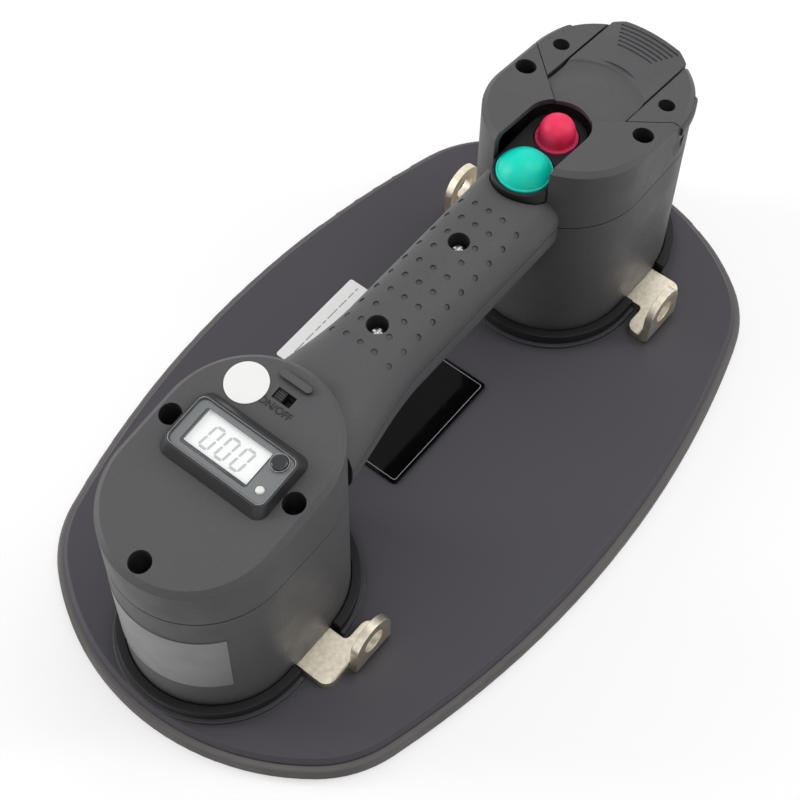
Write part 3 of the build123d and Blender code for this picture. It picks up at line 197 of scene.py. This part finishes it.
class Shader:
    """A principled material and the few effects that this scene builds on it.

    The scale of an effect is in features per metre.
    """

    def __init__(self, name, colour, rough, metal=0.0, coat=0.0, gloss=0.5):
        self.mat = bpy.data.materials.new(name)
        self.mat.use_nodes = True
        self.tree = self.mat.node_tree
        self.bsdf = self.tree.nodes["Principled BSDF"]
        self.colour = colour
        self.rough = rough
        self.coords = self.add("ShaderNodeTexCoord").outputs["Object"]
        self.rounded = None
        self.normal = None
        self.set("Base Color", (*colour, 1))
        self.set("Roughness", rough)
        self.set("Metallic", metal)
        self.set("Specular IOR Level", gloss)
        self.set("Coat Weight", coat)
        self.set("Coat Roughness", COAT_ROUGH)

    def set(self, socket, value):
        """Sets a constant on the shader's own socket."""
        self.bsdf.inputs[socket].default_value = value

    def add(self, kind, **values):
        """New node with some of its properties set."""
        node = self.tree.nodes.new(kind)
        for key, value in values.items():
            setattr(node, key, value)
        return node

    def link(self, source, target):
        """Joins an output to an input."""
        self.tree.links.new(source, target)

    def stretched(self, scale):
        """Object coordinates with one scale for each axis."""
        mapping = self.add("ShaderNodeMapping")
        mapping.inputs["Scale"].default_value = scale
        self.link(self.coords, mapping.inputs["Vector"])
        return mapping.outputs["Vector"]

    def noise(self, scale, detail=3.0, coords=None):
        """Noise value."""
        node = self.add("ShaderNodeTexNoise")
        node.inputs["Scale"].default_value = scale
        node.inputs["Detail"].default_value = detail
        self.link(coords or self.coords, node.inputs["Vector"])
        return node.outputs["Fac"]

    def ramp(self, value, source, target):
        """Maps a value from one range to another."""
        node = self.add("ShaderNodeMapRange")
        node.inputs["From Min"].default_value, node.inputs["From Max"].default_value = source
        node.inputs["To Min"].default_value, node.inputs["To Max"].default_value = target
        self.link(value, node.inputs["Value"])
        return node.outputs["Result"]

    def times(self, a, b):
        """Product of two values."""
        node = self.add("ShaderNodeMath", operation="MULTIPLY")
        self.link(a, node.inputs[0])
        self.link(b, node.inputs[1])
        return node.outputs["Value"]

    def tint(self, value, colour):
        """Mixes a second colour in by a value from 0 to 1, over what is there."""
        node = self.add("ShaderNodeMix", data_type="RGBA")
        there = self.bsdf.inputs["Base Color"]
        if there.is_linked:
            self.link(there.links[0].from_socket, node.inputs["A"])
        else:
            node.inputs["A"].default_value = (*self.colour, 1)
        node.inputs["B"].default_value = (*colour, 1)
        self.link(value, node.inputs["Factor"])
        self.link(node.outputs["Result"], there)

    def soften(self, radius):
        """Rounds sharp edges in the shading by the given radius."""
        node = self.add("ShaderNodeBevel", samples=EDGE_SAMPLES)
        node.inputs["Radius"].default_value = radius
        self.rounded = self.normal = node.outputs["Normal"]
        self.link(self.normal, self.bsdf.inputs["Normal"])

    def grain(self, scale, strength, depth, detail=2.0, coords=None):
        """Fine relief on top of what is there."""
        node = self.add("ShaderNodeBump")
        node.inputs["Strength"].default_value = strength
        node.inputs["Distance"].default_value = depth
        self.link(self.noise(scale, detail, coords), node.inputs["Height"])
        if self.normal is not None:
            self.link(self.normal, node.inputs["Normal"])
        self.normal = node.outputs["Normal"]
        self.link(self.normal, self.bsdf.inputs["Normal"])

    def vary_rough(self, scale, amount):
        """Uneven roughness round the base value."""
        span = (self.rough - amount, self.rough + amount)
        self.link(self.ramp(self.noise(scale), NOISE_SPAN, span), self.bsdf.inputs["Roughness"])

    def mottle(self, scale, amount, colour, detail=3.0):
        """Patches of a second colour, up to an amount."""
        self.tint(self.ramp(self.noise(scale, detail), NOISE_SPAN, (0.0, amount)), colour)

    def painted_crevice_shade(self, reach, amount):
        """Painted shade: darker colour in corners and gaps narrower than the reach."""
        node = self.add("ShaderNodeAmbientOcclusion", samples=EDGE_SAMPLES)
        node.inputs["Distance"].default_value = reach
        dark = self.ramp(node.outputs["AO"], CORNER_SHADE_SPAN, (0.0, amount))
        self.tint(dark, shade(self.colour, CORNER_SHADE_TONE))

    def worn_and_highlit_edges(self, colour, amount, scale):
        """Paler edges, in patches, where the rounded normal leaves the true one: rubbed wear and painted highlight
        in one.
        """
        dot = self.add("ShaderNodeVectorMath", operation="DOT_PRODUCT")
        self.link(self.rounded, dot.inputs[0])
        self.link(self.add("ShaderNodeNewGeometry").outputs["Normal"], dot.inputs[1])
        edge = self.ramp(dot.outputs["Value"], WEAR_AND_HIGHLIGHT_SPAN, (0.0, amount))
        patches = self.ramp(self.noise(scale), NOISE_SPAN, WEAR_AND_HIGHLIGHT_PATCHES)
        self.tint(self.times(edge, patches), colour)


def moulded(name, colour, rough, corner_shade=0.85):
    """Fine-textured moulded plastic."""
    s = Shader(name, colour, rough, gloss=0.24)
    s.soften(0.4 * MM)
    s.grain(1300, strength=0.7, depth=0.16 * MM)
    s.vary_rough(90, 0.06)
    s.mottle(30, 0.2, shade(colour, 1.2))
    s.mottle(1200, 0.3, shade(colour, 0.75), detail=2.0)
    # Paler edges: rubbed wear and painted highlight.
    s.worn_and_highlit_edges([min(1, c + 0.01) for c in shade(colour, 1.8)], 0.6, scale=60)
    # Painted shade: darker colour in corners and gaps.
    s.painted_crevice_shade(10 * MM, corner_shade)
    return s.mat


def glossy(name, colour, rough=0.22, coat=0.3, gloss=0.5):
    """Smooth glossy moulding with faint handling marks."""
    s = Shader(name, colour, rough, coat=coat, gloss=gloss)
    s.soften(0.3 * MM)
    s.grain(420, strength=0.05, depth=0.05 * MM)
    s.vary_rough(160, 0.05)
    s.mottle(45, 0.12, shade(colour, 0.85))
    return s.mat


def silicone(name, colour):
    """Soft button rubber that light enters a little."""
    s = Shader(name, colour, 0.42, gloss=0.3)
    s.soften(0.4 * MM)
    s.set("Subsurface Weight", 0.9)
    s.set("Subsurface Radius", (1.0, 0.8, 0.8))
    s.set("Subsurface Scale", 5 * MM)
    s.grain(900, strength=0.08, depth=0.05 * MM)
    s.vary_rough(120, 0.06)
    s.mottle(60, 0.1, shade(colour, 0.85))
    return s.mat


def coated(name, colour):
    """Satin coat on the base plate with a soft orange-peel surface."""
    s = Shader(name, colour, 0.5, gloss=0.3)
    s.soften(0.8 * MM)
    s.grain(900, strength=0.25, depth=0.06 * MM)
    s.vary_rough(24, 0.06)
    s.mottle(11, 0.25, shade(colour, 1.2))
    # Paler edges: rubbed wear and painted highlight.
    s.worn_and_highlit_edges(shade(colour, 1.8), 0.7, scale=40)
    # Painted shade: darker colour in corners and gaps.
    s.painted_crevice_shade(6 * MM, 0.9)
    return s.mat


def rubber(name, colour):
    """Soft dull rubber."""
    s = Shader(name, colour, 0.68, gloss=0.3)
    s.soften(0.4 * MM)
    s.grain(1300, strength=0.2, depth=0.05 * MM, detail=3.0)
    s.vary_rough(60, 0.08)
    s.mottle(25, 0.3, shade(colour, 1.3))
    return s.mat


def nickel(name, colour):
    """Tumbled nickel plate with a mottled grain and faint stains."""
    s = Shader(name, colour, 0.37, metal=1.0)
    s.soften(0.25 * MM)
    s.grain(1300, strength=0.2, depth=0.05 * MM)
    s.vary_rough(400, 0.06)
    s.mottle(110, 0.2, shade(colour, 0.9, 0.86, 0.76))
    s.mottle(620, 0.8, shade(colour, 0.72))
    return s.mat


def zinc(name, colour):
    """Plated fasteners and contacts."""
    s = Shader(name, colour, 0.38, metal=1.0)
    s.soften(0.25 * MM)
    s.vary_rough(700, 0.09)
    s.grain(1100, strength=0.7, depth=0.12 * MM)
    s.mottle(300, 0.25, shade(colour, 0.7))
    return s.mat


def clear_window(name, colour, cover):
    """Thin clear window: a faint haze that lets the display show."""
    s = Shader(name, colour, 0.08)
    s.set("Alpha", cover)
    s.vary_rough(300, 0.03)
    return s.mat


def printed(name, colour, rough, glow=0.0):
    """Paper or display print with a faint fibre grain, and a glow of painted light where one is given."""
    s = Shader(name, colour, rough, gloss=0.3)
    s.grain(1.0, strength=0.1, depth=0.03 * MM, coords=s.stretched((900, 2400, 900)))
    s.mottle(140, 0.1, shade(colour, 0.88))
    s.set("Emission Color", (*colour, 1))
    s.set("Emission Strength", glow)
    return s.mat


def foil(name, colour):
    """Brushed grey foil of the rating label."""
    s = Shader(name, colour, 0.42, metal=0.3)
    s.grain(1.0, strength=0.1, depth=0.02 * MM, coords=s.stretched((500, 500, 5200)))
    s.vary_rough(120, 0.07)
    s.mottle(35, 0.3, shade(colour, 0.8))
    return s.mat


def circuit(name, colour):
    """Solder-resist green with a faint weave."""
    s = Shader(name, colour, 0.4)
    s.grain(1600, strength=0.1, depth=0.03 * MM)
    s.mottle(260, 0.4, shade(colour, 0.6))
    return s.mat


HOUSING = (0.094, 0.092, 0.096)
HOUSING_ROUGH = 0.52

# By the CAD nodes' material slots.
MATERIALS = {
    "housing": moulded("housing", HOUSING, HOUSING_ROUGH),
    "base": coated("base", (0.062, 0.058, 0.068)),
    "seal": rubber("seal", (0.125, 0.118, 0.116)),
    "steel": nickel("steel", (0.97, 0.89, 0.73)),
    "screw": zinc("screw", (0.90, 0.89, 0.86)),
    "pod": glossy("pod", (0.030, 0.030, 0.032), rough=0.34, coat=0.1, gloss=0.4),
    "lens": clear_window("lens", (0.80, 0.84, 0.84), cover=0.05),
    # The display glows a little: painted light that lifts it in its well.
    "lcd": printed("lcd", (0.88, 0.90, 0.89), rough=0.35, glow=0.2),
    "lamp": glossy("lamp", (0.86, 0.85, 0.83)),
    "board": circuit("board", (0.02, 0.13, 0.05)),
    "switch": moulded("switch", (0.012, 0.012, 0.013), rough=0.45),
    "slider": moulded("slider", (0.06, 0.06, 0.06), rough=0.5),
    "deck": moulded("deck", (0.014, 0.014, 0.015), rough=0.5),
    "green": silicone("green", (0.002, 0.74, 0.57)),
    "red": silicone("red", (0.97, 0.036, 0.125)),
    "tube": rubber("tube", (0.55, 0.57, 0.57)),
    "white": moulded("white", (0.62, 0.62, 0.60), rough=0.45),
    "cell": glossy("cell", (0.03, 0.12, 0.30)),
    "brass": zinc("brass", (0.80, 0.60, 0.28)),
    "paper": printed("paper", (0.90, 0.90, 0.89), rough=0.55),
    "foil": foil("foil", (0.23, 0.23, 0.235)),
    "plate_black": glossy("plate_black", (0.002, 0.002, 0.0025), rough=0.06, coat=0.0, gloss=0.1),
    "foam": rubber("foam", (0.05, 0.05, 0.05)),
}

# For single nodes and for the added pieces.
SEGMENT = printed("segment", (0.60, 0.62, 0.62), rough=0.4)
# The unlit bars glow with the display: painted light.
GHOST = printed("ghost", (0.86, 0.88, 0.87), rough=0.4, glow=0.19)
# Grey under the lens: print, lightened as a painted reflection of the lens.
MASK_AND_REFLECTION = glossy("lens_mask", (0.155, 0.165, 0.168), rough=0.1, coat=0.5)
# Pale grey for the painted highlights on the lens's edge and the black plate, and for the small button's ring.
HIGHLIGHT_AND_RING = glossy("lens_edge", (0.30, 0.31, 0.32), rough=0.15)
# Near-black letters: painted shade in place of engraved strokes.
LETTER_WITH_SHADE = moulded("letter", (0.035, 0.035, 0.036), rough=0.5)
PRINT = printed("label_print", (0.30, 0.30, 0.31), rough=0.5)
DARK_CAP = glossy("dark_cap", (0.010, 0.010, 0.011), rough=0.12)
COLLAR = moulded("collar", (0.020, 0.020, 0.021), rough=0.45)
# The latch gets only a little painted shade in its grooves.
LATCH = moulded("latch", HOUSING, HOUSING_ROUGH, corner_shade=0.2)


def smooth(mesh):
    """Shades all faces of a mesh smooth."""
    mesh.polygons.foreach_set("use_smooth", [True] * len(mesh.polygons))


def dress(node, slot):
    """Gives a CAD node its material and smooth shading with crisp edges."""
    mesh = node.data
    mesh.materials.clear()
    mesh.materials.append(MATERIALS[slot])
    smooth(mesh)
    mesh.set_sharp_from_angle(angle=math.radians(CREASE))


def paint_collars():
    """Darker moulding on the rings round the towers, above their steps."""
    mesh = nodes["base_plate"].data
    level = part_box("name_plate")[0][2] + COLLAR_STEP
    mesh.materials.append(COLLAR)
    for face in mesh.polygons:
        if face.center.z > level:
            face.material_index = 1


for part in frame["record"]["subparts"]:
    dress(nodes[part["node"]], part["material_slot"])
nodes["unit_button"].data.materials[0] = DARK_CAP
nodes["battery_latch"].data.materials[0] = LATCH
paint_collars()


# Meshes, curves and measures for the added pieces


def add_object(name, data):
    """New object in the scene."""
    obj = bpy.data.objects.new(name, data)
    bpy.context.scene.collection.objects.link(obj)
    return obj


def add_mesh(name, verts, faces):
    """New mesh object in the scene."""
    mesh = bpy.data.meshes.new(name)
    mesh.from_pydata([tuple(v) for v in verts], [], faces)
    return add_object(name, mesh)


def mesh_piece(name, verts, faces, material):
    """A mesh in the shared frame that rides on the lifter's body."""
    obj = add_mesh(name, verts, faces)
    obj.data.validate()
    obj.data.materials.append(material)
    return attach(obj, "lifter")


def curve_piece(name, curve, place, turn, material):
    """A curve or text object that rides on the lifter's body."""
    curve.materials.append(material)
    obj = add_object(name, curve)
    obj.matrix_world = Matrix.Translation(place) @ turn
    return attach(obj, "lifter")


def merged(solids):
    """Verts and faces of several solids as one mesh."""
    verts, faces = [], []
    for more_verts, more_faces in solids:
        faces += [tuple(i + len(verts) for i in face) for face in more_faces]
        verts += more_verts
    return verts, faces


def prism(outline, origin, ax, ay, height):
    """Verts and faces of a prism on a closed outline, given along two axes."""
    n = len(outline)
    lift = ax.cross(ay).normalized() * height
    low = [origin + ax * x + ay * y for x, y in outline]
    faces = [tuple(range(n - 1, -1, -1)), tuple(range(n, 2 * n))]
    faces += [(i, (i + 1) % n, n + (i + 1) % n, n + i) for i in range(n)]
    return low + [v + lift for v in low], faces


def lathe(profile, centre, steps):
    """Verts and faces of a closed turned shape on a vertical axis; the profile ends on the axis."""
    verts = []
    for r, z in profile[:-1]:
        ring = (2 * math.pi * i / steps for i in range(steps))
        verts += [centre + Vector((r * math.cos(t), r * math.sin(t), z)) for t in ring]
    tip = len(verts)
    verts.append(centre + UP * profile[-1][1])
    faces = [tuple(range(steps - 1, -1, -1))]
    for low in range(0, tip - steps, steps):
        for i in range(steps):
            j = (i + 1) % steps
            faces.append((low + i, low + j, low + steps + j, low + steps + i))
    last = tip - steps
    faces += [(last + i, last + (i + 1) % steps, tip) for i in range(steps)]
    return verts, faces


def rounded_outline(centre, size, radius, steps=CORNER_STEPS):
    """Points of a rounded rectangle."""
    points = []
    for k, (sx, sy) in enumerate(((1, 1), (-1, 1), (-1, -1), (1, -1))):
        cx = centre[0] + sx * (size[0] / 2 - radius)
        cy = centre[1] + sy * (size[1] / 2 - radius)
        for i in range(steps + 1):
            t = math.pi / 2 * (k + i / steps)
            points.append((cx + radius * math.cos(t), cy + radius * math.sin(t)))
    return points


def round_outline(centre, diameter, steps=CORNER_STEPS):
    """Points of a circle."""
    return rounded_outline(centre, (diameter, diameter), diameter / 2 * NEARLY_ROUND, steps)


def less(size, margin):
    """A size made smaller by a margin."""
    return [s - margin for s in size]


def filled_curve(name, outlines, thickness):
    """Flat sheet with holes, from closed outlines."""
    curve = bpy.data.curves.new(name, "CURVE")
    curve.dimensions = "2D"
    curve.fill_mode = "BOTH"
    curve.extrude = thickness / 2
    for outline in outlines:
        line = curve.splines.new("POLY")
        line.points.add(len(outline) - 1)
        for point, (x, y) in zip(line.points, outline):
            point.co = (x, y, 0, 1)
        line.use_cyclic_u = True
    return curve


def extreme_points(node, direction, slack=0.05 * MM):
    """Vertices of a node that lie furthest along a direction."""
    points = [v.co.copy() for v in nodes[node].data.vertices]
    far = max(p.dot(direction) for p in points)
    return [p for p in points if p.dot(direction) > far - slack]


def middle(points):
    """Middle of the box round some points."""
    low = [min(p[i] for p in points) for i in range(3)]
    high = [max(p[i] for p in points) for i in range(3)]
    return (Vector(low) + Vector(high)) / 2


def top_extent(node):
    """Middle and size of a node along the sloping top's two axes."""
    u = [v.co.dot(TOP_X) for v in nodes[node].data.vertices]
    v = [v.co.dot(TOP_Y) for v in nodes[node].data.vertices]
    return ((min(u) + max(u)) / 2, (min(v) + max(v)) / 2), (max(u) - min(u), max(v) - min(v))


def top_turn(across, up):
    """Rotation that lays a flat piece on the sloping top."""
    return Matrix((across, up, across.cross(up))).transposed().to_4x4()


# Display and switch


def bar_outline(x, y, half, upright):
    """Outline of one display bar round its middle."""
    side = BAR / 2
    tip = half - side
    line = [(-half, 0), (-tip, side), (tip, side), (half, 0), (tip, -side), (-tip, -side)]
    return [(x + v, y + u) if upright else (x + u, y + v) for u, v in line]


def zero_bars(lit, left):
    """Leaning outlines of the six bars of a zero, or of the unlit bar in its middle."""
    level = (DIGIT_WIDTH - BAR_GAP_LEVEL * BAR) / 2
    upright = (DIGIT_HEIGHT / 2 - BAR_GAP_UPRIGHT * BAR) / 2
    centre = left + DIGIT_WIDTH / 2
    if lit:
        bars = [bar_outline(centre, y, level, False) for y in (0.0, DIGIT_HEIGHT)]
        for x in (left + BAR / 2, left + DIGIT_WIDTH - BAR / 2):
            bars += [bar_outline(x, y, upright, True) for y in (DIGIT_HEIGHT / 4, DIGIT_HEIGHT * 3 / 4)]
    else:
        bars = [bar_outline(centre, DIGIT_HEIGHT / 2, level, False)]
    return [[(x + DIGIT_LEAN * y, y) for x, y in bar] for bar in bars]


def display_digits():
    """Zeros on the display, read from its outer end, and their unlit middle bars."""
    across, up = -TOP_Y, TOP_X
    origin = middle(extreme_points("lcd_panel", TOP_NORMAL)) + TOP_NORMAL * DIGIT_LIFT
    origin -= up * DIGIT_HEIGHT / 2
    first = DIGIT_SHIFT - DIGITS / 2 * DIGIT_PITCH
    for name, lit, material in (("digits", True, SEGMENT), ("digit_ghosts", False, GHOST)):
        bars = [bar for i in range(DIGITS) for bar in zero_bars(lit, first + i * DIGIT_PITCH)]
        verts, faces = merged(prism(bar, origin, across, up, DIGIT_THICKNESS) for bar in bars)
        mesh_piece(name, verts, faces, material)


def switch_lettering():
    """Generic raised lettering beside the power switch, dark with painted shade in place of engraved strokes."""
    curve = bpy.data.curves.new("switch_lettering", "FONT")
    curve.body = "ON/OFF"
    curve.size = LETTER_SIZE
    curve.align_x, curve.align_y = "CENTER", "CENTER"
    curve.extrude = LETTER_RAISE
    curve.offset = LETTER_WEIGHT
    slider = middle(extreme_points("power_slider", TOP_NORMAL))
    level = middle(extreme_points("round_sticker", -TOP_NORMAL)).dot(TOP_NORMAL)
    place = Vector((slider.x, 0, slider.z)) - TOP_X * LETTER_FROM_SWITCH
    place += TOP_NORMAL * (level - place.dot(TOP_NORMAL) + LETTER_LIFT)
    curve_piece("switch_lettering", curve, place, top_turn(-TOP_Y, TOP_X), LETTER_WITH_SHADE)


def lens_sheet(name, outlines, thickness, level, material):
    """Flat sheet at a height along the sloping top's normal."""
    curve = filled_curve(name, outlines, thickness)
    curve_piece(name, curve, TOP_NORMAL * level, top_turn(TOP_X, TOP_Y), material)


def lens_print_and_reflection():
    """Grey print under the lens, lightened as a painted reflection of the lens, open over the display,
    the lamp and the small button, with the lens's edge as a painted highlight and the button's ring on top."""
    heights = [v.co.dot(TOP_NORMAL) for v in nodes["display_lens"].data.vertices]
    low, high = min(heights), max(heights)
    centre, size = top_extent("display_lens")
    lcd_centre, lcd_size = top_extent("lcd_panel")
    button, button_size = top_extent("unit_button")
    lamp, lamp_size = top_extent("status_lamp")
    mask = [
        rounded_outline(centre, less(size, 2 * LENS_MARGIN), LENS_CORNER),
        rounded_outline(lcd_centre, less(lcd_size, 2 * LCD_BORDER), LCD_CORNER),
        round_outline(button, button_size[1] + 2 * BUTTON_ROOM),
        round_outline(lamp, lamp_size[1]),
    ]
    lens_sheet("lens_print_and_reflection", mask, MASK_THICKNESS, low + MASK_LIFT, MASK_AND_REFLECTION)
    # The lens's edge: a painted highlight.
    edge = [rounded_outline(centre, less(size, inset), LENS_CORNER) for inset in LENS_HIGHLIGHT_BAND]
    lens_sheet("lens_edge", edge, LENS_HIGHLIGHT_THICKNESS, high + LENS_HIGHLIGHT_LIFT, HIGHLIGHT_AND_RING)
    ring = [round_outline(button, button_size[1] + out, RING_STEPS) for out in RING_BAND]
    lens_sheet("unit_ring", ring, RING_THICKNESS, high + RING_LIFT, HIGHLIGHT_AND_RING)


# Labels


def label_lines():
    """Generic print on the small paper label: rows of short grey dashes and no letters."""
    points = extreme_points("info_label", UP, LABEL_SLACK)
    left, right = min(p.x for p in points), max(p.x for p in points)
    near, far = min(p.y for p in points), max(p.y for p in points)
    dashes = []
    for row in range(LABEL_ROWS):
        y = near + (far - near) * (row + 1) / (LABEL_ROWS + 1)
        x = left + LABEL_MARGIN
        step = row
        while x < right - LABEL_MARGIN:
            length = LABEL_SHORTEST + LABEL_LONGER * (step * LABEL_STRIDE % LABEL_LENGTHS)
            end = min(x + length, right - LABEL_MARGIN)
            dashes.append([(x, y), (end, y), (end, y + LABEL_DASH), (x, y + LABEL_DASH)])
            x = end + LABEL_GAP
            step += 1
    origin = UP * (points[0].z + LABEL_LIFT)
    verts, faces = merged(prism(dash, origin, X_AXIS, Y_AXIS, LABEL_THICKNESS) for dash in dashes)
    mesh_piece("label_lines", verts, faces, PRINT)


def plate_highlight_line():
    """Painted highlight: a thin pale line inside the edge of the black plate."""
    low, high = (Vector(v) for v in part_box("name_plate"))
    centre = ((low.x + high.x) / 2, (low.y + high.y) / 2)
    size = (high.x - low.x, high.y - low.y)
    lines = []
    for inset in (HIGHLIGHT_INSET, HIGHLIGHT_INSET + HIGHLIGHT_WIDTH):
        lines.append(rounded_outline(centre, less(size, 2 * inset), HIGHLIGHT_CORNER - inset / 2))
    curve = filled_curve("plate_highlight_line", lines, HIGHLIGHT_THICKNESS)
    curve_piece("plate_highlight_line", curve, UP * (high.z + HIGHLIGHT_LIFT), Matrix.Identity(4), HIGHLIGHT_AND_RING)


def dome_edges(node):
    """Rounds a plate's edges with a modifier."""
    bevel = nodes[node].modifiers.new("dome", "BEVEL")
    bevel.width = DOME_WIDTH
    bevel.segments = DOME_STEPS
    bevel.limit_method = "ANGLE"
    bevel.angle_limit = math.radians(DOME_ANGLE)


# Screws


def head_centres(node, up):
    """Middles of the head faces of a node's screws."""
    groups = []
    for p in extreme_points(node, up):
        near = next((g for g in groups if (g[0] - p).length < SCREW_SPACING), None)
        if near is None:
            groups.append([p])
        else:
            near.append(p)
    return [middle(g) for g in groups]


def cut_recess(obj, heads, body, up):
    """Cuts cross recesses into an object's screw heads with a hidden cutter on its body."""
    w, a = RECESS_WIDTH / 2, RECESS_ARM / 2
    cross = [(-w, -a), (w, -a), (w, -w), (a, -w), (a, w), (w, w)]
    cross += [(-x, -y) for x, y in cross]
    below = up * RECESS_DEPTH
    solids = (prism(cross, head - below, X_AXIS * up.z, Y_AXIS, 2 * RECESS_DEPTH) for head in heads)
    cutter = add_mesh(obj.name + "_recess", *merged(solids))
    cutter.hide_render = True
    cutter.hide_viewport = True
    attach(cutter, body)
    cut = obj.modifiers.new("recess", "BOOLEAN")
    cut.object = cutter
    cut.operation = "DIFFERENCE"
    cut.solver = "EXACT"


def cross_recess(node, body, up):
    """Cuts a cross recess into each screw of a node."""
    cut_recess(nodes[node], head_centres(node, up), body, up)


def pan_heads():
    """Raised pan heads on the grip screws, with cross recesses."""
    seats = head_centres("grip_screws", UP)
    verts, faces = merged(lathe(PAN_PROFILE, seat - UP * PAN_SINK, PAN_STEPS) for seat in seats)
    heads = mesh_piece("grip_pan_heads", verts, faces, MATERIALS["screw"])
    smooth(heads.data)
    cut_recess(heads, [seat + UP * PAN_PROFILE[-1][1] for seat in seats], "lifter", UP)


display_digits()
switch_lettering()
lens_print_and_reflection()
label_lines()
# Painted highlight along the black plate's edge.
plate_highlight_line()
pan_heads()
cross_recess("cap_screws", "battery", UP)
cross_recess("tower_screws", "lifter", UP)
cross_recess("base_screws", "lifter", -UP)
dome_edges("name_plate")


# Floor, light and camera


def seen_rays(tree):
    """1 for rays from the camera, a gloss or a clear piece, 0 for light on the object."""
    path = tree.nodes.new("ShaderNodeLightPath")
    value = path.outputs["Is Camera Ray"]
    for ray in ("Is Glossy Ray", "Is Transmission Ray"):
        larger = tree.nodes.new("ShaderNodeMath")
        larger.operation = "MAXIMUM"
        tree.links.new(value, larger.inputs[0])
        tree.links.new(path.outputs[ray], larger.inputs[1])
        value = larger.outputs["Value"]
    return value


def make_floor():
    """White floor that runs out of view and keeps the object's shadow."""
    s = Shader("floor", (FLOOR_GREY, FLOOR_GREY, FLOOR_GREY), FLOOR_ROUGH, gloss=0.1)
    s.set("Emission Color", (1, 1, 1, 1))
    away = s.add("ShaderNodeVectorMath", operation="LENGTH")
    s.link(s.coords, away.inputs[0])
    glow = s.ramp(away.outputs["Value"], FLOOR_REACH, FLOOR_GLOW)
    s.link(s.times(glow, seen_rays(s.tree)), s.bsdf.inputs["Emission Strength"])
    corners = ((-1, -1), (1, -1), (1, 1), (-1, 1))
    verts = [(x * FLOOR_HALF, y * FLOOR_HALF, -FLOOR_DROP) for x, y in corners]
    obj = add_mesh("floor", verts, [(0, 1, 2, 3)])
    obj.data.materials.append(s.mat)


def make_world():
    """Soft room, brighter overhead, that looks white from the camera and in gloss."""
    world = bpy.data.worlds.new("studio")
    world.use_nodes = True
    tree = world.node_tree
    back = tree.nodes["Background"]
    back.inputs["Color"].default_value = (1, 1, 1, 1)
    coords = tree.nodes.new("ShaderNodeTexCoord")
    height = tree.nodes.new("ShaderNodeVectorMath")
    height.operation = "DOT_PRODUCT"
    height.inputs[1].default_value = SKY_AXIS
    sky = tree.nodes.new("ShaderNodeMapRange")
    sky.inputs["To Min"].default_value, sky.inputs["To Max"].default_value = SKY
    mix = tree.nodes.new("ShaderNodeMix")
    mix.inputs["B"].default_value = 1.0
    tree.links.new(coords.outputs["Generated"], height.inputs[0])
    tree.links.new(height.outputs["Value"], sky.inputs["Value"])
    tree.links.new(sky.outputs["Result"], mix.inputs["A"])
    tree.links.new(seen_rays(tree), mix.inputs["Factor"])
    tree.links.new(mix.outputs["Result"], back.inputs["Strength"])
    bpy.context.scene.world = world


def area_light(name, place, size, watts):
    """Soft box aimed at the object."""
    lamp = bpy.data.lights.new(name, "AREA")
    lamp.shape = "RECTANGLE"
    lamp.size, lamp.size_y = size
    lamp.energy = watts
    obj = add_object(name, lamp)
    obj.location = place
    obj.rotation_euler = (LAMP_TARGET - Vector(place)).to_track_quat("-Z", "Y").to_euler()


def make_camera():
    """Camera at the photo's place, with its small roll."""
    a, e, r = (math.radians(x) for x in (CAM_AZIMUTH, CAM_ELEVATION, CAM_ROLL))
    back = Vector((math.sin(a) * math.cos(e), -math.cos(a) * math.cos(e), math.sin(e)))
    right = Vector((math.cos(a), math.sin(a), 0))
    up = back.cross(right)
    x = right * math.cos(r) + up * math.sin(r)
    y = up * math.cos(r) - right * math.sin(r)
    data = bpy.data.cameras.new("camera")
    data.lens = CAM_LENS
    data.sensor_width = CAM_SENSOR
    data.clip_start = CAM_NEAR
    camera = add_object("camera", data)
    turn = Matrix((x, y, back)).transposed().to_4x4()
    camera.matrix_world = Matrix.Translation(CAM_TARGET + back * CAM_DISTANCE) @ turn
    bpy.context.scene.camera = camera


make_floor()
make_world()
for lamp_name, (lamp_place, lamp_size, lamp_watts) in LAMPS.items():
    area_light(lamp_name, lamp_place, lamp_size, lamp_watts)
make_camera()
bpy.context.scene.view_settings.view_transform = "Standard"
